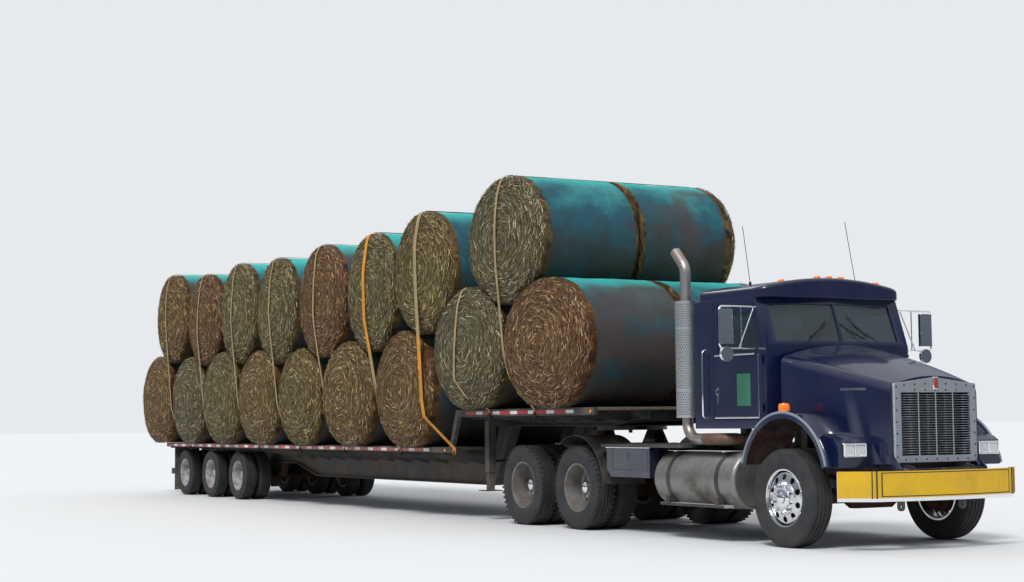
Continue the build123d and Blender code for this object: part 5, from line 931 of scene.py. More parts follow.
# Bright trim on the cab: a grab handle behind each door, trim strips round the door, its handle,
# a plain green placard, and two whip aerials of black wire on the roof.
placard = finish("bare_placard", (0.01, 0.16, 0.085), 0.4, amount=0.3, scale=6.0)
for side_name, side in SIDES:
    door = body_of("door_" + side_name)
    y = side * (CAB_SIDE + 0.045)
    rail = rounded_path([(STEER - 1.55, side * CAB_SIDE, 1.34), (STEER - 1.55, y, 1.36),
                         (STEER - 1.55, y, 2.08), (STEER - 1.55, side * CAB_SIDE, 2.10)], 0.03)
    fitted("grab_handle_" + side_name, chrome, sweep(rail, circle(0.013)), TRACTOR, "chrome")
    y0, y1 = span(side, CAB_SIDE - 0.001, CAB_SIDE + 0.007)
    strips = [
        slab((STEER - 1.385, y0, 1.335), (STEER - 0.60, y1, 1.352), 0.003, "x"),
        slab((STEER - 0.600, y0, 1.335), (STEER - 0.583, y1, 2.02), 0.003, "z"),
        slab((STEER - 1.385, y0, 2.022), (STEER - 0.66, y1, 2.036), 0.003, "x"),
    ]
    fitted("door_trim_" + side_name, chrome, joined(*strips), door, "chrome")
    y0, y1 = span(side, CAB_SIDE, CAB_SIDE + 0.035)
    y2, y3 = span(side, CAB_SIDE, CAB_SIDE + 0.004)
    handle = [
        slab((STEER - 1.345, y2, 1.50), (STEER - 1.315, y3, 1.68), 0.003, "z"),
        slab((STEER - 1.342, y0, 1.60), (STEER - 1.318, y1, 1.66), 0.009, "z"),
    ]
    fitted("door_handle_" + side_name, chrome, joined(*handle), door, "chrome")
    y0, y1 = span(side, CAB_SIDE, CAB_SIDE + 0.002)
    fitted("placard_" + side_name, placard,
           slab((STEER - 0.98, y0, 1.47), (STEER - 0.74, y1, 1.82), 0.0009, "z"), door, "paint")
wire = finish("aerial_wire", (0.03, 0.03, 0.032), 0.4, 0.5)
AERIALS = ((-0.86, 0.60, -1.02, 3.56), (-1.30, -0.55, -1.42, 3.50))
for number, (x, y, top_x, top_z) in enumerate(AERIALS):
    root = Vector((STEER + x, y, 2.80))
    mast = [root, root + Vector((0, 0, 0.05)), Vector((STEER + top_x, y, top_z))]
    base = [root - Vector((0, 0, 0.01)), root + Vector((0, 0, 0.06))]
    fitted(f"aerial_{number + 1}", wire,
           joined(sweep(mast, circle(0.004, 6)), sweep(base, circle(0.016, 10))), TRACTOR, "trim")

# Mirrors: chrome-plated shells on chrome tubes that ride on the doors. Two thin chromed rods brace
# each of them.
for side_name, side in SIDES:
    dressed("mirrors_" + side_name, chrome, 0.007, 3)
    low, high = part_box("mirrors_" + side_name)
    arm_x = (low.x + high.x) / 2
    foot_z = low.z + 0.14
    door = body_of("door_" + side_name)
    brace = [(arm_x, side * (CAB_SIDE + 0.03), high.z - 0.012),
             (arm_x + 0.01, side * (CAB_SIDE + 0.24), foot_z)]
    second = [(arm_x, side * (CAB_SIDE + 0.20), high.z - 0.010),
              (arm_x, side * (CAB_SIDE + 0.20), foot_z)]
    braces = joined(sweep(brace, circle(0.007, 10)), sweep(second, circle(0.006, 10)))
    fitted("mirror_braces_" + side_name, chrome, braces, door, "chrome")

# Badges: a plain chrome plate with a red enamel inset on the grille's head, and a plain chrome bar
# laid along each side of the hood, following its skin.
inset_red = finish("badge_inset", (0.28, 0.012, 0.010), 0.25, coat=0.6, amount=0.15, scale=8.0)
low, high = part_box("grille")
x, z = high.x, high.z
badge = slab((x - 0.004, -0.036, z - 0.125), (x + 0.010, 0.036, z + 0.004), 0.012)
fitted("grille_badge", chrome, badge, HOOD, "chrome")
inset = slab((x + 0.008, -0.026, z - 0.115), (x + 0.0125, 0.026, z - 0.006), 0.010)
fitted("grille_badge_inset", inset_red, inset, HOOD, "paint")
BAR_FROM, BAR_TO, BAR_Z = 9.70, 10.01, 1.622
BAR_HALF, BAR_T, BAR_STEPS = 0.013, 0.006, 8
shape = merged("hood_shell")
hood_skin = BVHTree.FromBMesh(shape)
shape.free()
for side_name, side in SIDES:
    points = []
    for step in range(BAR_STEPS + 1):
        x = BAR_FROM + (BAR_TO - BAR_FROM) * step / BAR_STEPS
        for z, out in ((-BAR_HALF, 0), (-BAR_HALF, BAR_T), (BAR_HALF, BAR_T), (BAR_HALF, 0)):
            eye = Vector((x, side * 2, BAR_Z + z))
            on_skin = hood_skin.ray_cast(eye, Vector((0, -side, 0)))[0]
            points.append(on_skin + Vector((0, side * out, 0)))
    quads = [(0, 1, 2, 3), tuple(BAR_STEPS * 4 + k for k in (3, 2, 1, 0))] + bands(BAR_STEPS + 1, 4)
    fitted("hood_bar_" + side_name, chrome, (points, quads), HOOD, "chrome", 30)

# Exhaust: a weathered bright stack with a turned-back end, browned toward its foot, inside a
# perforated heat shield. The holes are real ones, in staggered rows.
exhaust = finish("exhaust_pipe", (0.40, 0.37, 0.35), 0.3, 0.9, dirt=(0.16, 0.08, 0.04),
                 amount=0.75, scale=3.0, low_dirt=0.2, bump=0.1)
sheet_steel = finish("shield_sheet", (0.60, 0.62, 0.64), 0.28, 0.9, dirt=(0.20, 0.19, 0.18),
                     amount=0.35, scale=5.0)
dressed("exhaust_stack", exhaust, 0.003)
elbow_rust = finish("elbow_rust", (0.15, 0.10, 0.075), 0.6, 0.5, dirt=(0.16, 0.06, 0.03),
                    amount=0.9, scale=9.0, low_dirt=0.4, bump=0.3)
stack_low, stack_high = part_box("exhaust_stack")
PIPE_R = 0.062
x, y, z = stack_high.x, (stack_low.y + stack_high.y) / 2, stack_low.z + PIPE_R
run_under = rounded_path([(x - 0.08, y, z), (x + 0.16, y, z), (x + 0.36, y + 0.34, z - 0.01)], 0.16)
fitted("exhaust_run", elbow_rust, sweep(run_under, circle(PIPE_R + 0.003, 20)), TRACTOR, "chrome")
low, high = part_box("exhaust_shield")
SHIELD_RADIUS, SHIELD_WALL = (high.x - low.x) / 2, 0.0025
shield_at = Vector(((low.x + high.x) / 2, (low.y + high.y) / 2, 0))
SHIELD_CELLS, SHIELD_HOLE = 26, 0.0094
cell_w = 2 * math.pi * SHIELD_RADIUS / SHIELD_CELLS
rows = round((high.z - low.z) / (cell_w * 0.9))
cell_h = (high.z - low.z) / rows
points, faces = [], []
grid = {}


def rolled(u, z):
    """A place on the unrolled sheet, on its cylinder."""
    angle = u / SHIELD_RADIUS
    return (shield_at.x + SHIELD_RADIUS * math.cos(angle),
            shield_at.y + SHIELD_RADIUS * math.sin(angle), low.z + z)


def shield_point(u, z):
    """The number of a point of the rolled sheet, kept once."""
    key = (round(u / cell_w * 64) % (SHIELD_CELLS * 64), round(z / cell_h * 64))
    if key not in grid:
        grid[key] = len(points)
        points.append(rolled(u, z))
    return grid[key]


def walled(piece, thickness, offset=-1.0):
    """Gives a sheet its thickness."""
    wall = piece.modifiers.new("wall", "SOLIDIFY")
    wall.thickness = thickness
    wall.offset = offset
    return piece


for row in range(rows):
    for column in range(SHIELD_CELLS):
        u, z = (column + 0.5 * (row % 2)) * cell_w, row * cell_h
        rim = []
        for du, dz in ((0, 0), (0.5, 0), (1, 0), (1, 0.5), (1, 1), (0.5, 1), (0, 1), (0, 0.5)):
            rim.append(shield_point(u + du * cell_w, z + dz * cell_h))
        hole = []
        for step in range(8):
            angle = math.radians(-135 + 45 * step)
            hole.append(len(points))
            points.append(rolled(u + cell_w / 2 + SHIELD_HOLE * math.cos(angle),
                                 z + cell_h / 2 + SHIELD_HOLE * math.sin(angle)))
        faces.extend((rim[i], rim[(i + 1) % 8], hole[(i + 1) % 8], hole[i]) for i in range(8))
shield = mesh_object("exhaust_shield_sheet", points, faces, [sheet_steel])
settle(walled(shield, SHIELD_WALL), TRACTOR, "chrome", "exhaust_shield", sharp=30)
BAND_IN, BAND_OUT, BAND_TALL = SHIELD_RADIUS - 0.004, SHIELD_RADIUS + 0.0025, 0.02
hoops = [
    turned(((z, BAND_IN), (z, BAND_OUT), (z + BAND_TALL, BAND_OUT), (z + BAND_TALL, BAND_IN)), 48,
           shield_at, looped=True)
    for z in (low.z, low.z + 0.30, high.z - 0.32, high.z - BAND_TALL)
]
fitted("exhaust_shield_bands", sheet_steel, joined(*hoops), TRACTOR, "chrome")

# Fuel tanks: brushed aluminium drums, dull and streaked; their bands are dark, the tread step
# above them and the step bar below them are bright worn aluminium.
brushed = finish("tank_aluminium", (0.34, 0.34, 0.33), 0.30, 0.85, dirt=(0.13, 0.115, 0.095),
                 amount=0.75, scale=2.6, low_dirt=0.9, bump=0.08)
tread = finish("tread_aluminium", (0.74, 0.76, 0.78), 0.36, 0.6, dirt=(0.30, 0.28, 0.26),
               amount=0.35, scale=6.0, low_dirt=0.15)
band_dark = finish("band_dark", (0.035, 0.037, 0.042), 0.4, 0.5, amount=0.5, scale=5.0)
low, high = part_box("fuel_tanks")
STEP_FROM, BAR_UNDER = high.z - 0.004, low.z + 0.048
STEP_INNER = 0.90       # the step and the bar lie further out than this


def strap_zone(middle, normal):
    """0 a band round the tank, 1 the step above it or the bar below it."""
    outside = middle.z > STEP_FROM or middle.z < BAR_UNDER
    return 1 if outside and abs(middle.y) > STEP_INNER else 0


dressed("fuel_tanks", brushed, 0.003)
dressed("tank_straps", band_dark, 0.002, others=(tread,), pick=strap_zone)

# Bumper: a bowed chrome channel. Plain yellow vinyl with a black line round it is stretched over
# its front and tied round it with pairs of dark straps.
dressed("bumper", chrome, 0.006, 3)
low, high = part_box("banner")
BANNER_EDGE, BANNER_LINE, BANNER_THICK = 0.012, 0.010, 0.0024
BANNER_OUT = 0.0022     # clear of the solid, and the height of its waves
BANNER_STEPS, TIE_PAIR, TIE_HALF = 121, 0.021, 0.008
TIE_AT = (-0.93, 0.93)
vinyl_yellow = finish("banner_vinyl", (0.70, 0.42, 0.004), 0.42, dirt=(0.22, 0.15, 0.05),
                      amount=0.35, scale=3.0, low_dirt=0.35, bump=0.2)
ink_black = finish("banner_edging", (0.014, 0.013, 0.012), 0.5, amount=0.2, scale=6.0)
shape = merged("banner")
front_x = {}
for v in shape.verts:
    key = round(v.co.y, 3)
    front_x[key] = max(front_x.get(key, -1e9), v.co.x)
shape.free()
profile_y = sorted(front_x)


def banner_front(y):
    """How far forward the vinyl's outer side is at a width."""
    y = min(max(y, profile_y[0]), profile_y[-1])
    for a, b in zip(profile_y, profile_y[1:]):
        if a <= y <= b:
            t = 0 if b == a else (y - a) / (b - a)
            return front_x[a] * (1 - t) + front_x[b] * t
    return front_x[profile_y[-1]]


spread = [*np.linspace(profile_y[0], profile_y[-1], BANNER_STEPS), *profile_y]
banner_path = [(y, banner_front(y)) for y in sorted({round(float(y), 4) for y in spread})]
reach = [0.0]
for (y0, x0), (y1, x1) in zip(banner_path, banner_path[1:]):
    reach.append(reach[-1] + math.hypot(y1 - y0, x1 - x0))
LEVELS = [0.0, BANNER_EDGE, BANNER_EDGE + BANNER_LINE]
banner_h = high.z - low.z
LEVELS += [LEVELS[2] + (banner_h - 2 * LEVELS[2]) * k / 10 for k in range(1, 11)]
LEVELS += [banner_h - BANNER_EDGE, banner_h]
points, slots = [], []
for y, x in banner_path:
    for up_by in LEVELS:
        inside = min(up_by, banner_h - up_by) / (banner_h / 2)
        wave = inside * noise.noise(Vector((y * 5.0, up_by * 9.0, 4.0)))
        points.append((x + BANNER_OUT * (1 + wave * 0.5), y, low.z + up_by))
rows = len(LEVELS)
TIE_ROOM, SIDE_LINE = 0.07, 0.012       # beside a tie, and the width of the upright line there
for (y0, _), (y1, _) in zip(banner_path, banner_path[1:]):
    y = (y0 + y1) / 2
    into = min(y - TIE_AT[0] - TIE_ROOM, TIE_AT[1] - TIE_ROOM - y)
    for at_level in range(rows - 1):
        on_line = at_level in (1, rows - 3) or (into < SIDE_LINE and 0 < at_level < rows - 2)
        slots.append(1 if into > 0 and on_line else 0)
faces = [(a, d, c, b) for a, b, c, d in bands(len(banner_path), rows, open_edge=True)]
banner = mesh_object("banner_vinyl", points, faces, [vinyl_yellow, ink_black], slots)
settle(walled(banner, BANNER_THICK), TRACTOR, "vinyl", "banner")
ties = []
for tie_y in TIE_AT:
    for shift in (-TIE_PAIR, TIE_PAIR):
        y = tie_y + shift
        ahead = banner_front(y) + 0.0025
        loop = [(ahead + 0.004, low.z - 0.004), (ahead + 0.004, high.z + 0.003),
                (ahead - 0.040, high.z + 0.003), (ahead - 0.040, low.z - 0.004)]
        inner = [(ahead + 0.0015, low.z - 0.002), (ahead + 0.0015, high.z + 0.001),
                 (ahead - 0.038, high.z + 0.001), (ahead - 0.038, low.z - 0.002)]
        ring = [(px, y + dy, pz) for dy in (-TIE_HALF, TIE_HALF) for px, pz in loop + inner]
        quads = []
        for k in range(4):
            n = (k + 1) % 4
            quads += [(k, n, 8 + n, 8 + k), (4 + k, 12 + k, 12 + n, 4 + n), (k, 4 + k, 4 + n, n),
                      (8 + k, 8 + n, 12 + n, 12 + k)]
        ties.append((ring, quads))
fitted("banner_ties", seal, joined(*ties), TRACTOR, "trim", 30)

# Side boxes, deck behind the cab and quarter fenders: dark sheet steel and black plastic, with
# worn aluminium edges and dark doors on the boxes.
box_paint = finish("box_paint", (0.004, 0.009, 0.034), 0.3, coat=0.7, amount=0.20, scale=2.5,
                   low_dirt=0.5)
fender_black = finish("fender_poly", (0.016, 0.017, 0.019), 0.34, coat=0.3, amount=0.45, scale=3.0,
                      low_dirt=0.6)
dressed("side_boxes", box_paint, 0.006)
deck_plate = finish("deck_plate", (0.05, 0.055, 0.065), 0.4, 0.5, amount=0.6, scale=4.0)
dressed("catwalk", deck_plate, 0.004)
dressed("quarter_fenders", fender_black, 0.006)
low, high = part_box("side_boxes")
for side_name, side in SIDES:
    y0, y1 = span(side, high.y - 0.002, high.y + 0.010)
    trim = slab((low.x - 0.01, y0, high.z + 0.001), (high.x + 0.01, y1, high.z + 0.012), 0.004)
    y0, y1 = span(side, high.y - 0.001, high.y + 0.004)
    middle = (low.x + high.x) / 2
    door = [
        slab((high.x - 0.05, y0, low.z + 0.09), (high.x - 0.035, y1, high.z - 0.03), 0.003, "z"),
        slab((low.x + 0.12, y0, low.z + 0.09), (low.x + 0.135, y1, high.z - 0.03), 0.003, "z"),
        slab((low.x + 0.12, y0, low.z + 0.08), (high.x - 0.035, y1, low.z + 0.095), 0.003),
        slab((middle - 0.03, y0, high.z - 0.14), (middle + 0.03, y1 + 0.004, high.z - 0.05), 0.003),
    ]
    fitted("side_box_trim_" + side_name, tread, trim, TRACTOR, "aluminium")
    fitted("side_box_door_" + side_name, fender_black, joined(*door), TRACTOR, "trim")

# Round bales: rolled hay whose ends dome out in shaggy coils, its round side held in a thin
# blue-green net that stops short of the rims. Each bale keeps the outline of its solid.
BALE_AROUND = 96
RIM_ROUND = 0.11        # how far a bale's rims are rounded
DOME_BACK = 0.040       # how far a rim lies behind the solid's end face
DOME_RISE = 0.080       # how far the middle of a face stands ahead of its rim
SKIN = 0.006            # kept inside the solid all round
INNER_ROUND = RIM_ROUND * 0.6
INNER_BACK = 0.012      # how far the hidden inner face lies back
FACE_ROWS, SIDE_ROWS, RIM_ROWS = 14, 12, 5
HUG, SWELL = 0.2, 1.006                 # limits on how a bale's lumps move its side
WEB_LEAN, LEAN_FROM = 0.45, 0.42      # how far a strap's end runs ahead, and from what height
WEB_DRIFT, WEB_TAIL = 0.12, 0.05
web_rows = []
for corners in sorted(solids_of("load_straps"), key=lambda c: -c[:, 0].mean()):
    head = corners[corners[:, 2] > corners[:, 2].max() - 0.01]
    foot = corners[corners[:, 2] < corners[:, 2].min() + 0.01]
    x_head, x_foot = float(head[:, 0].mean()), float(foot[:, 0].mean())
    drift = min(max(x_foot - x_head, -WEB_DRIFT), WEB_DRIFT)
    web_rows.append((x_head, x_head + drift, float(head[:, 2].max()),
                     float(foot[:, 2].min()) + WEB_TAIL, float(np.abs(foot[:, 1]).max())))


def web_x(row, z):
    """Where along the lorry a strap is at a height."""
    x_head, x_foot, z_head, z_rail, _ = row
    share = min(max((z_head - z) / (z_head - z_rail), 0.0), 1.0)
    lean = WEB_LEAN * min(max(1 - (z - z_rail) / LEAN_FROM, 0.0), 1.0)
    return x_head + (x_foot - x_head) * share + lean


def under_web(x, z):
    """0 where a strap presses the straws flat, 1 away from the straps."""
    near = [abs(x - web_x(row, z)) for row in web_rows if z < row[2] + 0.1 and z > row[3] - 0.1]
    return min(max((min(near, default=1.0) - 0.045) / 0.05, 0.0), 1.0)


def outline_of(corners, around):
    """Middle of a bale's end and its radius at even angles, corners softened."""
    end = corners[corners[:, 1] > corners[:, 1].max() - 1e-4][:, (0, 2)]
    middle = (end.min(0) + end.max(0)) / 2
    at = np.arctan2(end[:, 1] - middle[1], end[:, 0] - middle[0])
    end = end[np.argsort(at)] - middle
    radii = []
    for number in range(around):
        angle = 2 * math.pi * number / around
        ray = np.array((math.cos(angle), math.sin(angle)))
        best = 0.0
        for a, b in zip(end, np.roll(end, -1, axis=0)):
            side = b - a
            cross = ray[0] * side[1] - ray[1] * side[0]
            if abs(cross) < 1e-9:
                continue
            reach = (a[0] * side[1] - a[1] * side[0]) / cross
            share = (a[0] * ray[1] - a[1] * ray[0]) / cross
            if -1e-6 <= share <= 1 + 1e-6:
                best = max(best, reach)
        radii.append(best)
    radii = np.array(radii)
    for _ in range(3):
        radii = (np.roll(radii, 1) + 2 * radii + np.roll(radii, -1)) / 4
    return middle, radii - SKIN


def bale_rows():
    """(place along the bale, inset, share of the radius) from the inner face to the outer."""
    turns = [math.pi / 2 * step / RIM_ROWS for step in range(RIM_ROWS)]
    rows = [("in", 0.0, INNER_ROUND, (step + 1) / 3) for step in range(2)]
    rows += [("in", INNER_ROUND * (1 - math.cos(turn)), INNER_ROUND * (1 - math.sin(turn)), 1.0)
             for turn in turns]
    rows += [("side", step / SIDE_ROWS, 0.0, 1.0) for step in range(SIDE_ROWS + 1)]
    rows += [("out", RIM_ROUND * (1 - math.cos(turn)), RIM_ROUND * (1 - math.sin(turn)), 1.0)
             for turn in reversed(turns)]
    rows += [("out", 0.0, RIM_ROUND, step / (FACE_ROWS + 1)) for step in range(FACE_ROWS, 0, -1)]
    return rows


def bale_mesh(corners, seed):
    """Points, faces, the hub and, for each point, the net's share, the straw's, how far it faces up
    and its share of the radius.
    """
    middle, radii = outline_of(corners, BALE_AROUND)
    y_low, y_high = corners[:, 1].min(), corners[:, 1].max()
    side = 1 if y_high > 0.1 else -1
    y_in, y_out = (y_low, y_high) if side > 0 else (y_high, y_low)
    length = abs(y_out - y_in)
    points, marks = [], []
    for zone, along, inset, share in bale_rows():
        for number, radius in enumerate(radii):
            angle = 2 * math.pi * number / BALE_AROUND
            r = (radius - inset) * share
            x = middle[0] + r * math.cos(angle)
            z = middle[1] + r * math.sin(angle)
            if zone == "in":
                depth = INNER_BACK + along if share == 1.0 else INNER_BACK
            elif zone == "side":
                start = INNER_BACK + INNER_ROUND
                depth = start + (length - DOME_BACK - RIM_ROUND - start) * along
            else:
                dome = -along if share == 1.0 else DOME_RISE * (1 - share ** 2.4)
                depth = length - DOME_BACK + dome
            y = y_in + side * depth
            lump = noise.fractal(Vector((x * 2.2, y * 2.2 + seed, z * 2.2)), 1.0, 2.0, 3)
            fine = noise.noise(Vector((x * 9.0, y * 9.0 + seed, z * 9.0)))
            on_side = min(1.0, (1 - along) * length / 0.10) if zone == "side" else 0.0
            if zone == "out" and share < 1.0:
                coil = math.sin(r * 46 + 2.5 * noise.noise(Vector((x * 3, seed, z * 3))))
                y += side * (0.016 * lump + 0.008 * fine + 0.006 * coil)
            elif zone != "in":
                pull = min(1 + (0.010 * lump + 0.004 * fine - 0.004) / max(r, HUG), SWELL)
                x = middle[0] + (x - middle[0]) * pull
                z = middle[1] + (z - middle[1]) * pull
            points.append((x, y, z))
            straw = under_web(x, z) if zone == "out" else 0.0
            marks.append((on_side, straw, math.sin(angle), share))
    count = len(bale_rows())
    faces = []
    for row in range(count - 1):
        for number in range(BALE_AROUND):
            a = row * BALE_AROUND + number
            b = row * BALE_AROUND + (number + 1) % BALE_AROUND
            quad = (a, a + BALE_AROUND, b + BALE_AROUND, b)
            faces.append(quad if side > 0 else quad[::-1])
    for row in (0, count - 1):
        ring = tuple(row * BALE_AROUND + number for number in range(BALE_AROUND))
        centre = len(points)
        points.append(tuple(np.mean([points[i] for i in ring], axis=0)))
        marks.append((0.0, 0.0 if row == 0 else 1.0, 0.0, 0.0))
        for a, b in zip(ring, ring[1:] + ring[:1]):
            inward = (row == 0) == (side > 0)
            faces.append((centre, a, b) if inward else (centre, b, a))
    return points, faces, middle, marks


# Colours of the hay, with painted shade deep in its shaggy coils and painted highlights on the
# strands that stand out, and of the net, with a painted highlight where it faces up and painted
# shade where it faces down. The cast runs from rust-brown over gold and olive to grey-green: it
# tells one bale from another.
CAST = ((0.10, (0.92, 0.58, 0.40)), (0.38, (1.0, 0.80, 0.50)), (0.62, (0.90, 0.88, 0.52)),
        (0.92, (0.80, 0.86, 0.76)))
RIM_BROWN_AND_SHADE = (0.62, 0.40, 0.30, 1)
# The net's brown blots, and the bright teal of its painted highlight.
NET_BLOT, NET_PAINTED_HIGHLIGHT = (0.072, 0.050, 0.046, 1), (0.04, 0.46, 0.42, 1)
look_ins = [("Hub", VECTOR, (0, 0, 0)), ("Tint", NUMBER, 0.5), ("Share", NUMBER, 1.0)]
look_outs = [("Colour", COLOUR), ("Height", NUMBER)]
hay_look, given, out = group("hay_look", look_ins, look_outs)
place = object_place(hay_look)
from_hub = node(hay_look, "ShaderNodeVectorMath", {"operation": "SUBTRACT"}, i0=place,
                i1=given["Hub"])
apart = node(hay_look, "ShaderNodeSeparateXYZ", Vector=from_hub).outputs
flat = node(hay_look, "ShaderNodeCombineXYZ", X=apart["X"], Z=apart["Z"])
radius = node(hay_look, "ShaderNodeVectorMath", {"operation": "LENGTH"}, i0=flat).outputs["Value"]
ray = node(hay_look, "ShaderNodeVectorMath", {"operation": "NORMALIZE"}, i0=flat)
ray = node(hay_look, "ShaderNodeSeparateXYZ", Vector=ray).outputs
bent = maths(hay_look, "MULTIPLY_ADD", fractal(hay_look, place, 5.0, 3.0), 0.16, radius)
turns = maths(hay_look, "SINE", maths(hay_look, "MULTIPLY", bent, 82.0))
turns = maths(hay_look, "MULTIPLY", turns, 0.045)
coiled = node(hay_look, "ShaderNodeCombineXYZ", X=bent,
              Y=maths(hay_look, "MULTIPLY_ADD", ray["X"], 0.16, given["Tint"]),
              Z=maths(hay_look, "MULTIPLY", ray["Z"], 0.16))
strands = fractal(hay_look, coiled, 26.0, 6.0, Roughness=0.75)
crossed = fractal(hay_look, place, 34.0, 5.0, Roughness=0.8, Distortion=1.6)
both = maths(hay_look, "MULTIPLY_ADD", strands, 0.62, turns)
both = maths(hay_look, "MULTIPLY_ADD", crossed, 0.38, both)
# The strands' colour: painted shade where they lie deep in the coils, painted highlights on the
# highest.
stalk_shade_and_highlight = tones(hay_look, both, (0.34, (0.012, 0.009, 0.005)), (0.45, (0.065, 0.048, 0.024)),
               (0.55, (0.16, 0.125, 0.062)), (0.72, (0.50, 0.42, 0.24)))
mood = maths(hay_look, "MULTIPLY_ADD", fractal(hay_look, place, 1.7, 3.0), 0.9, -0.45)
mood = maths(hay_look, "ADD", mood, given["Tint"], clamp=True)
tinted = mixed(hay_look, 1.0, stalk_shade_and_highlight, tones(hay_look, mood, *CAST), "MULTIPLY")
# Browner and darker toward a face's rim: the hay's rust-brown and painted shade on the rounding.
rim = between(hay_look, given["Share"], 0.72, 1.0, 0.75)
feed(hay_look, out, Colour=mixed(hay_look, rim, tinted, RIM_BROWN_AND_SHADE, "MULTIPLY"), Height=both)

net_look, given, out = group("net_look", [("Crown", NUMBER, 0.0), ("Tint", NUMBER, 0.5)], look_outs)
place = object_place(net_look)
clouds = fractal(net_look, place, 1.6, 5.0, Roughness=0.6)
flecks = fractal(net_look, place, 70.0, 4.0, Roughness=0.8)
# Painted highlight and shade: lighter toward the net's top, darker toward its foot.
lightness = maths(net_look, "MULTIPLY_ADD", given["Crown"], 0.24, 0.10)
lightness = maths(net_look, "MULTIPLY_ADD", clouds, 0.75, lightness)
lightness = maths(net_look, "MULTIPLY_ADD", flecks, 0.22, lightness)
mesh_tone = tones(net_look, lightness, (0.33, (0.040, 0.027, 0.022)), (0.44, (0.048, 0.046, 0.038)),
                  (0.55, (0.036, 0.056, 0.062)), (0.70, (0.018, 0.095, 0.125)),
                  (0.90, (0.045, 0.26, 0.27)))
blot = maths(net_look, "MULTIPLY_ADD", given["Tint"], -0.22, fractal(net_look, place, 0.75, 3.0))
blot = between(net_look, blot, 0.44, 0.52, 0.75)
# A flecked painted highlight, bright teal, where the net faces straight up.
net_painted_highlight = between(net_look, maths(net_look, "MULTIPLY_ADD", flecks, 0.35, given["Crown"]), 0.94, 1.16)
patched = mixed(net_look, blot, mesh_tone, NET_BLOT)
feed(net_look, out, Colour=mixed(net_look, net_painted_highlight, patched, NET_PAINTED_HIGHLIGHT), Height=flecks)


def attribute(tree, label):
    """What a piece stores for each of its points under a name."""
    return node(tree, "ShaderNodeAttribute", {"attribute_name": label}).outputs


hay = new_material("hay_in_net")
tree = hay.node_tree
hub, tint = attribute(tree, "bale_hub")["Vector"], attribute(tree, "bale_tint")["Fac"]
bare = node(tree, "ShaderNodeGroup", {"node_tree": hay_look}, Hub=hub, Tint=tint,
            Share=attribute(tree, "bale_share")["Fac"]).outputs
netted = node(tree, "ShaderNodeGroup", {"node_tree": net_look}, Tint=tint,
              Crown=attribute(tree, "bale_crown")["Fac"]).outputs
edge = maths(tree, "MULTIPLY_ADD", fractal(tree, object_place(tree), 9.0, 4.0), 0.8, -0.65)
edge = maths(tree, "ADD", edge, attribute(tree, "bale_net")["Fac"])
colour = mixed(tree, between(tree, edge, 0.3, 0.6), bare["Colour"], netted["Colour"])
relief = node(tree, "ShaderNodeBump", Strength=0.9, Distance=0.03, Height=bare["Height"])
shade(hay, Base_Color=colour, Normal=relief, Roughness=0.82, Specular_IOR_Level=0.25)

# Loose straws: thin bent blades of dry hay that lie along the coils and stick out of the rims,
# strewn by the share of straw that each point of a bale stores.
straw_mat = new_material("loose_straw")
tree = straw_mat.node_tree
# A random tone per straw, dark to dry gold; the palest few straws are painted glints.
dry_tone_and_glint = tones(tree, attribute(tree, "straw_shade")["Fac"], (0.0, (0.040, 0.030, 0.018)),
            (0.50, (0.125, 0.100, 0.055)), (0.82, (0.27, 0.22, 0.12)), (0.93, (0.55, 0.48, 0.28)),
            (1.0, (0.95, 0.90, 0.66)))
cast_on = tones(tree, attribute(tree, "bale_tint")["Fac"], *CAST)
shade(straw_mat, Base_Color=mixed(tree, 0.85, dry_tone_and_glint, cast_on, "MULTIPLY"), Roughness=0.5)

STRAW_DENSITY, STRAW_LONG, STRAW_WIDE = 1780.0, 0.085, 0.0042
straws, given, out = growing_tree(
    "straws", ("Density", "Float"), ("Seed", "Int"), ("Length", "Float"), ("Width", "Float")
)
share = node(straws, "GeometryNodeInputNamedAttribute", {"data_type": "FLOAT"}, Name="bale_straw")
thick = maths(straws, "MULTIPLY", share.outputs["Attribute"], given["Density"])
strewn = node(straws, "GeometryNodeDistributePointsOnFaces", {"distribute_method": "RANDOM"},
              Mesh=given["Geometry"], Density=thick, Seed=given["Seed"]).outputs
blade = node(straws, "GeometryNodeMeshGrid", Size_X=given["Length"], Size_Y=given["Width"],
             Vertices_X=2, Vertices_Y=2).outputs["Mesh"]
spot = node(straws, "GeometryNodeInputPosition")
along = node(straws, "ShaderNodeSeparateXYZ", Vector=spot).outputs["X"]
drop = maths(straws, "MULTIPLY_ADD", maths(straws, "MULTIPLY", along, along), -3.2, 0.012)
blade = node(straws, "GeometryNodeSetPosition", Geometry=blade,
             Offset=node(straws, "ShaderNodeCombineXYZ", Z=drop))
hub = node(straws, "GeometryNodeInputNamedAttribute", {"data_type": "FLOAT_VECTOR"},
           Name="bale_hub")
out_ray = node(straws, "ShaderNodeVectorMath", {"operation": "SUBTRACT"}, i0=spot,
               i1=hub.outputs["Attribute"])
tangent = node(straws, "ShaderNodeVectorMath", {"operation": "CROSS_PRODUCT"}, i0=out_ray,
               i1=(0.0, 1.0, 0.0))
stand = node(straws, "FunctionNodeAlignRotationToVector", {"axis": "Z"}, Vector=strewn["Normal"])
stand = node(straws, "FunctionNodeAlignRotationToVector", {"axis": "X", "pivot_axis": "Z"},
             Rotation=stand, Vector=tangent)
loose = node(straws, "FunctionNodeRandomValue", {"data_type": "FLOAT_VECTOR"},
             i0=(-0.5, -0.30, -0.55), i1=(0.5, 0.30, 0.55), Seed=given["Seed"])
stand = node(straws, "FunctionNodeRotateRotation", {"rotation_space": "LOCAL"}, Rotation=stand,
             Rotate_By=node(straws, "FunctionNodeEulerToRotation", Euler=loose))
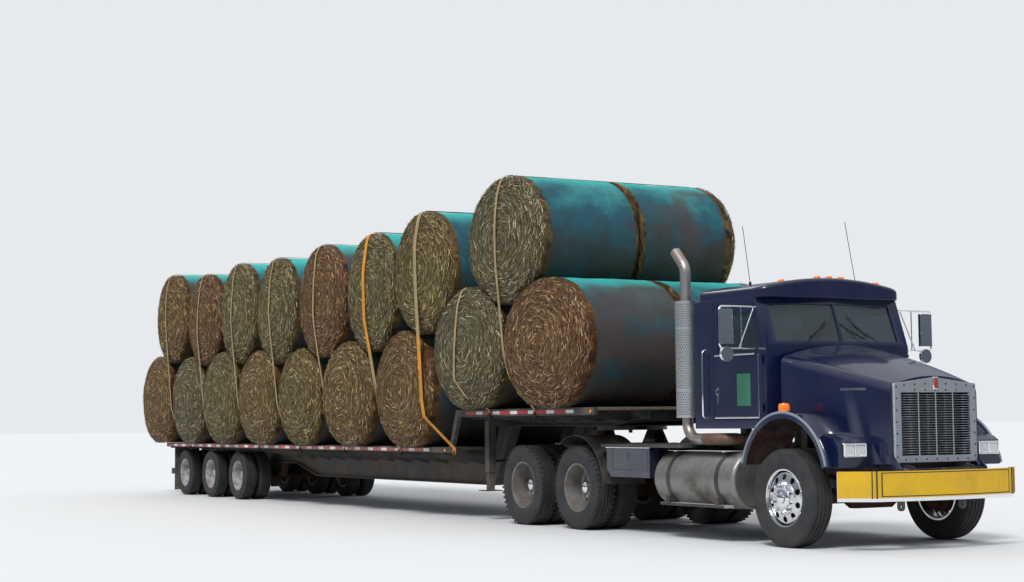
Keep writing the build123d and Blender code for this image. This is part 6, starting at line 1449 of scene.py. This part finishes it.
grow = node(straws, "FunctionNodeRandomValue", {"data_type": "FLOAT_VECTOR"},
            i0=(0.45, 0.7, 0.3), i1=(1.5, 1.6, 1.4), Seed=7)
placed = node(straws, "GeometryNodeInstanceOnPoints", Points=strewn["Points"], Instance=blade,
              Rotation=stand, Scale=grow)
tone = node(straws, "FunctionNodeRandomValue", {"data_type": "FLOAT"}, Seed=11).outputs["Value"]
toned = node(straws, "GeometryNodeStoreNamedAttribute",
             {"data_type": "FLOAT", "domain": "INSTANCE"}, Geometry=placed, Name="straw_shade",
             Value=tone)
set_last(straws, toned, given, out)


def put_marks(mesh, label, kind, values):
    """Stores one value per point under a name that shaders and node trees read."""
    layer = mesh.attributes.new(label, kind, "POINT")
    flat_values = np.array(values, np.float32).ravel()
    layer.data.foreach_set("vector" if kind == "FLOAT_VECTOR" else "value", flat_values)


bale_pieces = []
for tier, tier_seed in (("lower", 0.0), ("upper", 3.0)):
    source = "hay_bales_" + tier
    rows = {}
    for corners in solids_of(source):
        rows.setdefault(round(float(corners[:, 0].mean()), 1), []).append(corners)
    for number, at in enumerate(sorted(rows), 1):
        parts, hubs, tints, marks = [], [], [], []
        for corners in rows[at]:
            seed = 10.0 * number + tier_seed + corners[0, 1]
            tint = min(max(0.5 + 1.0 * noise.noise(Vector((seed * 1.37, 4.2, 0.3))), 0.05), 0.95)
            points, faces, middle, bale_marks = bale_mesh(corners, seed)
            parts.append((points, faces))
            hubs += [(middle[0], 0.0, middle[1])] * len(points)
            tints += [tint] * len(points)
            marks += bale_marks
        piece = mesh_object(f"bales_{tier}_{number}", *joined(*parts), [hay])
        marks = np.array(marks)
        put_marks(piece.data, "bale_hub", "FLOAT_VECTOR", hubs)
        put_marks(piece.data, "bale_tint", "FLOAT", tints)
        for column, label in enumerate(("bale_net", "bale_straw", "bale_crown", "bale_share")):
            put_marks(piece.data, label, "FLOAT", marks[:, column])
        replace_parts(hung(piece, body_of(source)), source)
        bale_pieces.append(piece)
        loose = bpy.data.objects.new(f"straws_{tier}_{number}", piece.data.copy())
        scene.collection.objects.link(loose)
        grown(loose, straws, body_of(source), "hay", Density=STRAW_DENSITY, Seed=number,
              Length=STRAW_LONG, Width=STRAW_WIDE, Material=straw_mat)

# Load straps: nine flat polyester webs thrown over the bales, each pulled taut, so it bears on
# the highest and widest places and bridges the hollows. Their ends slant forward to the rails.
WEB_WIDE, WEB_THICK, WEB_OFF = 0.050, 0.0026, 0.013
WEB_STEP, WEB_END, WEB_PIECE = 0.035, 0.08, 0.08
HOOK_OUT = 0.004        # how far a strap's end stands off its hook
EYE_OUT, TOP_HALF, TOP_EYES = 2.6, 1.60, 90     # where the load is looked at from
WEB_FREE = 0.16         # height above the rail where a strap may first bear on a bale
ORANGE_SPANS = {2: (0.0, 2.55), 3: (2.35, 9.0)}     # strap: between which heights it is orange
ORANGE_WIDE = 0.095
TAN, ORANGE = (0.34, 0.25, 0.12), (0.62, 0.25, 0.012)
webbing = new_material("strap_webbing")
tree = webbing.node_tree
tone = tones(tree, attribute(tree, "web_shade")["Fac"], (0.0, TAN), (1.0, ORANGE))
worn = node(tree, "ShaderNodeGroup", {"node_tree": weather}, Colour=tone,
            Dirt=(0.12, 0.085, 0.04, 1), Amount=0.45, Scale=4.0, Roughness=0.7, Low=0.3)
ribs = node(tree, "ShaderNodeTexWave", {"bands_direction": "DIAGONAL"}, Vector=object_place(tree),
            Scale=55.0).outputs["Fac"]
relief = node(tree, "ShaderNodeBump", Strength=0.25, Distance=0.001, Height=ribs)
shade(webbing, Base_Color=worn, Normal=relief, Roughness=0.7)

corners, quads = [], []
for piece in bale_pieces:
    start = len(corners)
    corners.extend(v.co.copy() for v in piece.data.vertices)
    quads.extend([start + i for i in f.vertices] for f in piece.data.polygons)
load = BVHTree.FromPolygons(corners, quads)


def half_hull(points):
    """One half of the convex outline of (across, up) points given in their order across."""
    chain = []
    for p in points:
        while len(chain) > 1:
            (ax, az), (bx, bz) = chain[-2], chain[-1]
            if (bx - ax) * (p[1] - az) - (bz - az) * (p[0] - ax) > 0:
                break
            chain.pop()
        chain.append(p)
    return chain


def hull_over(points, start, end):
    """The convex outline of (across, up) points from one hook over the top to the other."""
    points = sorted({*points, start, end})
    ring = half_hull(points)[:-1] + half_hull(points[::-1])[:-1]
    first = ring.index(start)
    ring = ring[first:] + ring[:first]
    return ring[:ring.index(end) + 1]


for number, row in enumerate(web_rows):
    _, _, z_head, z_rail, y_hook = row
    touched = []
    for side in (1, -1):
        for step in range(int((z_head + 0.3 - z_rail - WEB_FREE) / WEB_STEP)):
            z = z_rail + WEB_FREE + step * WEB_STEP
            for shift in (-0.03, 0.0, 0.03):
                eye = Vector((web_x(row, z) + shift, side * EYE_OUT, z))
                hit = load.ray_cast(eye, Vector((0, -side, 0)), EYE_OUT)[0]
                if hit is not None:
                    touched.append((round(hit.y + side * WEB_OFF, 4), round(z, 4)))
    for step in range(TOP_EYES):
        y = TOP_HALF * (2 * step / (TOP_EYES - 1) - 1)
        eye = Vector((web_x(row, z_head), y, z_head + 1.0))
        hit = load.ray_cast(eye, Vector((0, 0, -1)), 3.0)[0]
        if hit is not None:
            touched.append((round(y, 4), round(hit.z + WEB_OFF, 4)))
    y_end = y_hook + HOOK_OUT
    over = hull_over(touched, (y_end, z_rail), (-y_end, z_rail))
    path = []
    for a, b in zip(over, over[1:]):
        count = max(1, round(math.hypot(b[0] - a[0], b[1] - a[1]) / WEB_PIECE))
        path.extend((a[0] + (b[0] - a[0]) * k / count, a[1] + (b[1] - a[1]) * k / count)
                    for k in range(count))
    path = [(y_end, z_rail - WEB_END), *path, over[-1], (-y_end, z_rail - WEB_END)]
    orange_from, orange_to = ORANGE_SPANS.get(number, (0.0, 0.0))
    half = (ORANGE_WIDE if number in ORANGE_SPANS else WEB_WIDE) / 2
    points, shades = [], []
    for y, z in path:
        x = web_x(row, z) + 0.004 * noise.noise(Vector((z * 1.3, y * 0.9, number * 7.7)))
        points.extend(((x - half, y, z), (x, y, z), (x + half, y, z)))
        shades.extend([1.0 if orange_from < z < orange_to else 0.0] * 3)
    faces = bands(len(path), 3, open_edge=True)
    web = mesh_object(f"load_strap_{number + 1}", points, faces, [webbing])
    put_marks(web.data, "web_shade", "FLOAT", shades)
    settle(walled(web, WEB_THICK, 0.0), body_of("load_straps"), "webbing", "load_straps", sharp=50)

# Strap ends: a flat hook on each rail with a ratchet winch block below it, both of the same rusty
# greased iron as the running gear.
hooks = []
for row in web_rows:
    z_foot, y_hook = row[3] - WEB_TAIL, row[4]
    x = web_x(row, row[3])
    for _, side in SIDES:
        y0, y1 = span(side, y_hook - 0.045, y_hook + 0.012)
        hooks.append(slab((x - 0.032, y0, z_foot - 0.055), (x + 0.032, y1, z_foot - 0.020), 0.006))
        y0, y1 = span(side, y_hook - 0.004, y_hook + 0.010)
        hooks.append(slab((x - 0.028, y0, z_foot - 0.05), (x + 0.028, y1, z_foot + 0.01), 0.004))
fitted("strap_hooks", cast, joined(*hooks), body_of("load_straps"), "iron")

# Decks: worn hardwood boards laid lengthwise on the frame between the side rails, with dark gaps
# between them.
BOARD_WIDE, BOARD_GAP = 0.192, 0.005
wood = new_material("deck_boards")
tree = wood.node_tree
long_place = node(tree, "ShaderNodeMapping", Vector=object_place(tree), Scale=(0.6, 9.0, 9.0))
grain = fractal(tree, long_place, 6.0, 8.0, Roughness=0.7)
tone = tones(tree, grain, (0.3, (0.030, 0.022, 0.016)), (0.75, (0.19, 0.15, 0.11)))
relief = node(tree, "ShaderNodeBump", Strength=0.5, Distance=0.004, Height=grain)
shade(wood, Base_Color=tone, Normal=relief, Roughness=0.8)
for source in ("lower_deck", "upper_deck"):
    low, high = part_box(source)
    count = round((high.y - low.y) / BOARD_WIDE)
    pitch = (high.y - low.y) / count
    edges = [(low.y + k * pitch + BOARD_GAP / 2, low.y + (k + 1) * pitch - BOARD_GAP / 2)
             for k in range(count)]
    boards = [slab((low.x, a, low.z), (high.x, b, high.z), 0.006) for a, b in edges]
    fitted(source + "_boards", wood, joined(*boards), body_of(source), "boards", 38, (source,))

# Conspicuity tape: red and white lengths in turn, stuck along the side rails from the tail to the
# nose.
TAPE_RED, TAPE_WHITE, TAPE_HIGH = 0.28, 0.18, 0.042
tape_red = finish("tape_red", (0.42, 0.012, 0.010), 0.35, coat=0.4, amount=0.35, scale=5.0)
tape_white = finish("tape_white", (0.72, 0.72, 0.70), 0.35, coat=0.4, amount=0.35, scale=5.0)
TRAILER = body_of("side_rails")
low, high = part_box("side_rails")
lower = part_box("lower_deck")
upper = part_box("upper_deck")
for deck_name, x_from, x_to, z in (
    ("lower", lower[0].x + 0.15, lower[1].x - 0.25, lower[1].z - 0.040),
    ("upper", upper[0].x + 0.30, upper[1].x - 0.15, upper[1].z - 0.048),
):
    count = int((x_to - x_from) / (TAPE_RED + TAPE_WHITE))
    for side_name, side in SIDES:
        y0, y1 = span(side, high.y - 0.0005, high.y + 0.0012)
        for label, made, start, long_by in (
            ("red", tape_red, 0.0, TAPE_RED), ("white", tape_white, TAPE_RED, TAPE_WHITE),
        ):
            strip = slab((x_from + start, y0, z - TAPE_HIGH / 2),
                         (x_from + start + long_by, y1, z + TAPE_HIGH / 2), 0.0004)
            name = f"tape_{deck_name}_{label}_{side_name}"
            piece = outward_faces(mesh_object(name, *strip, [made], smooth=False))
            grown(piece, run, TRAILER, "trailer_paint", Count=count,
                  Step=(TAPE_RED + TAPE_WHITE, 0.0, 0.0), Material=made)

# Flaps: black rubber sheets, a little curled at the foot. Lamps: red ones on the trailer's tail
# and its guard and amber ones on its sides, shallow moulded domes set in the metal.
flap_rubber = finish("flap_rubber", (0.014, 0.014, 0.015), 0.6, amount=0.7, scale=5.0, low_dirt=0.9)
FLAP_ROWS, FLAP_COLUMNS, FLAP_THICK = 20, 12, 0.008
low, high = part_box("trailer_flaps")
for side_name, side in SIDES:
    corners = [c for c in solids_of("trailer_flaps") if c[:, 1].mean() * side > 0][0]
    y0, y1 = corners[:, 1].min(), corners[:, 1].max()
    middle_x = corners[:, 0].mean()
    points = []
    for row in range(FLAP_ROWS + 1):
        share = row / FLAP_ROWS
        z = high.z - (high.z - low.z) * share
        for column in range(FLAP_COLUMNS + 1):
            y = y0 + (y1 - y0) * column / FLAP_COLUMNS
            curl = -0.020 * share ** 2 + 0.006 * share * math.sin(7 * y + 2.0 * side)
            points.append((middle_x + curl, y, z))
    faces = bands(FLAP_ROWS + 1, FLAP_COLUMNS + 1, open_edge=True)
    piece = mesh_object("trailer_flap_" + side_name, points, faces, [flap_rubber])
    settle(walled(piece, FLAP_THICK, 0.0), body_of("trailer_flaps"), "flap_rubber", "trailer_flaps")

red_lens = shade(new_material("red_lens"), Base_Color=(0.50, 0.008, 0.006, 1), Roughness=0.15,
                 Transmission_Weight=0.15, Coat_Weight=1.0)


def round_lamp(at, out, radius, depth):
    """A shallow domed lamp at a place, facing along out, as points and faces."""
    rows = ((-0.004, radius), (depth * 0.5, radius), (depth * 0.85, radius * 0.8),
            (depth, radius * 0.35), (depth * 1.02, 0.0))
    return turned(rows, 20, at, Vector(out).to_track_quat("Z", "Y").to_matrix())


low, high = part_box("side_rails")
tail = [round_lamp((low.x - 0.002, y, low.z + 0.037), (-1, 0, 0), 0.026, 0.014)
        for y in (-1.27, 1.27)]
guard_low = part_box("rear_guard")[0]
tail += [round_lamp((guard_low.x, y, guard_low.z + 0.05), (-1, 0, 0), 0.045, 0.018)
         for y in (-1.10, -0.98, 0.98, 1.10)]
fitted("tail_lamps", red_lens, joined(*tail), TRAILER, "amber")
z = lower[1].z - 0.04
MARKERS = ((lower[0].x + 0.08, z), (lower[1].x - 0.12, z), ((lower[0].x + lower[1].x) / 2, z),
           (upper[1].x - 0.07, upper[1].z - 0.05))
marks_at = [round_lamp((x, s * high.y, z), (0, s, 0), 0.020, 0.012)
            for s in (1, -1) for x, z in MARKERS]
fitted("side_markers", amber, joined(*marks_at), TRAILER, "amber")

# The whole object's box with what this script adds.
low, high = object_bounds()
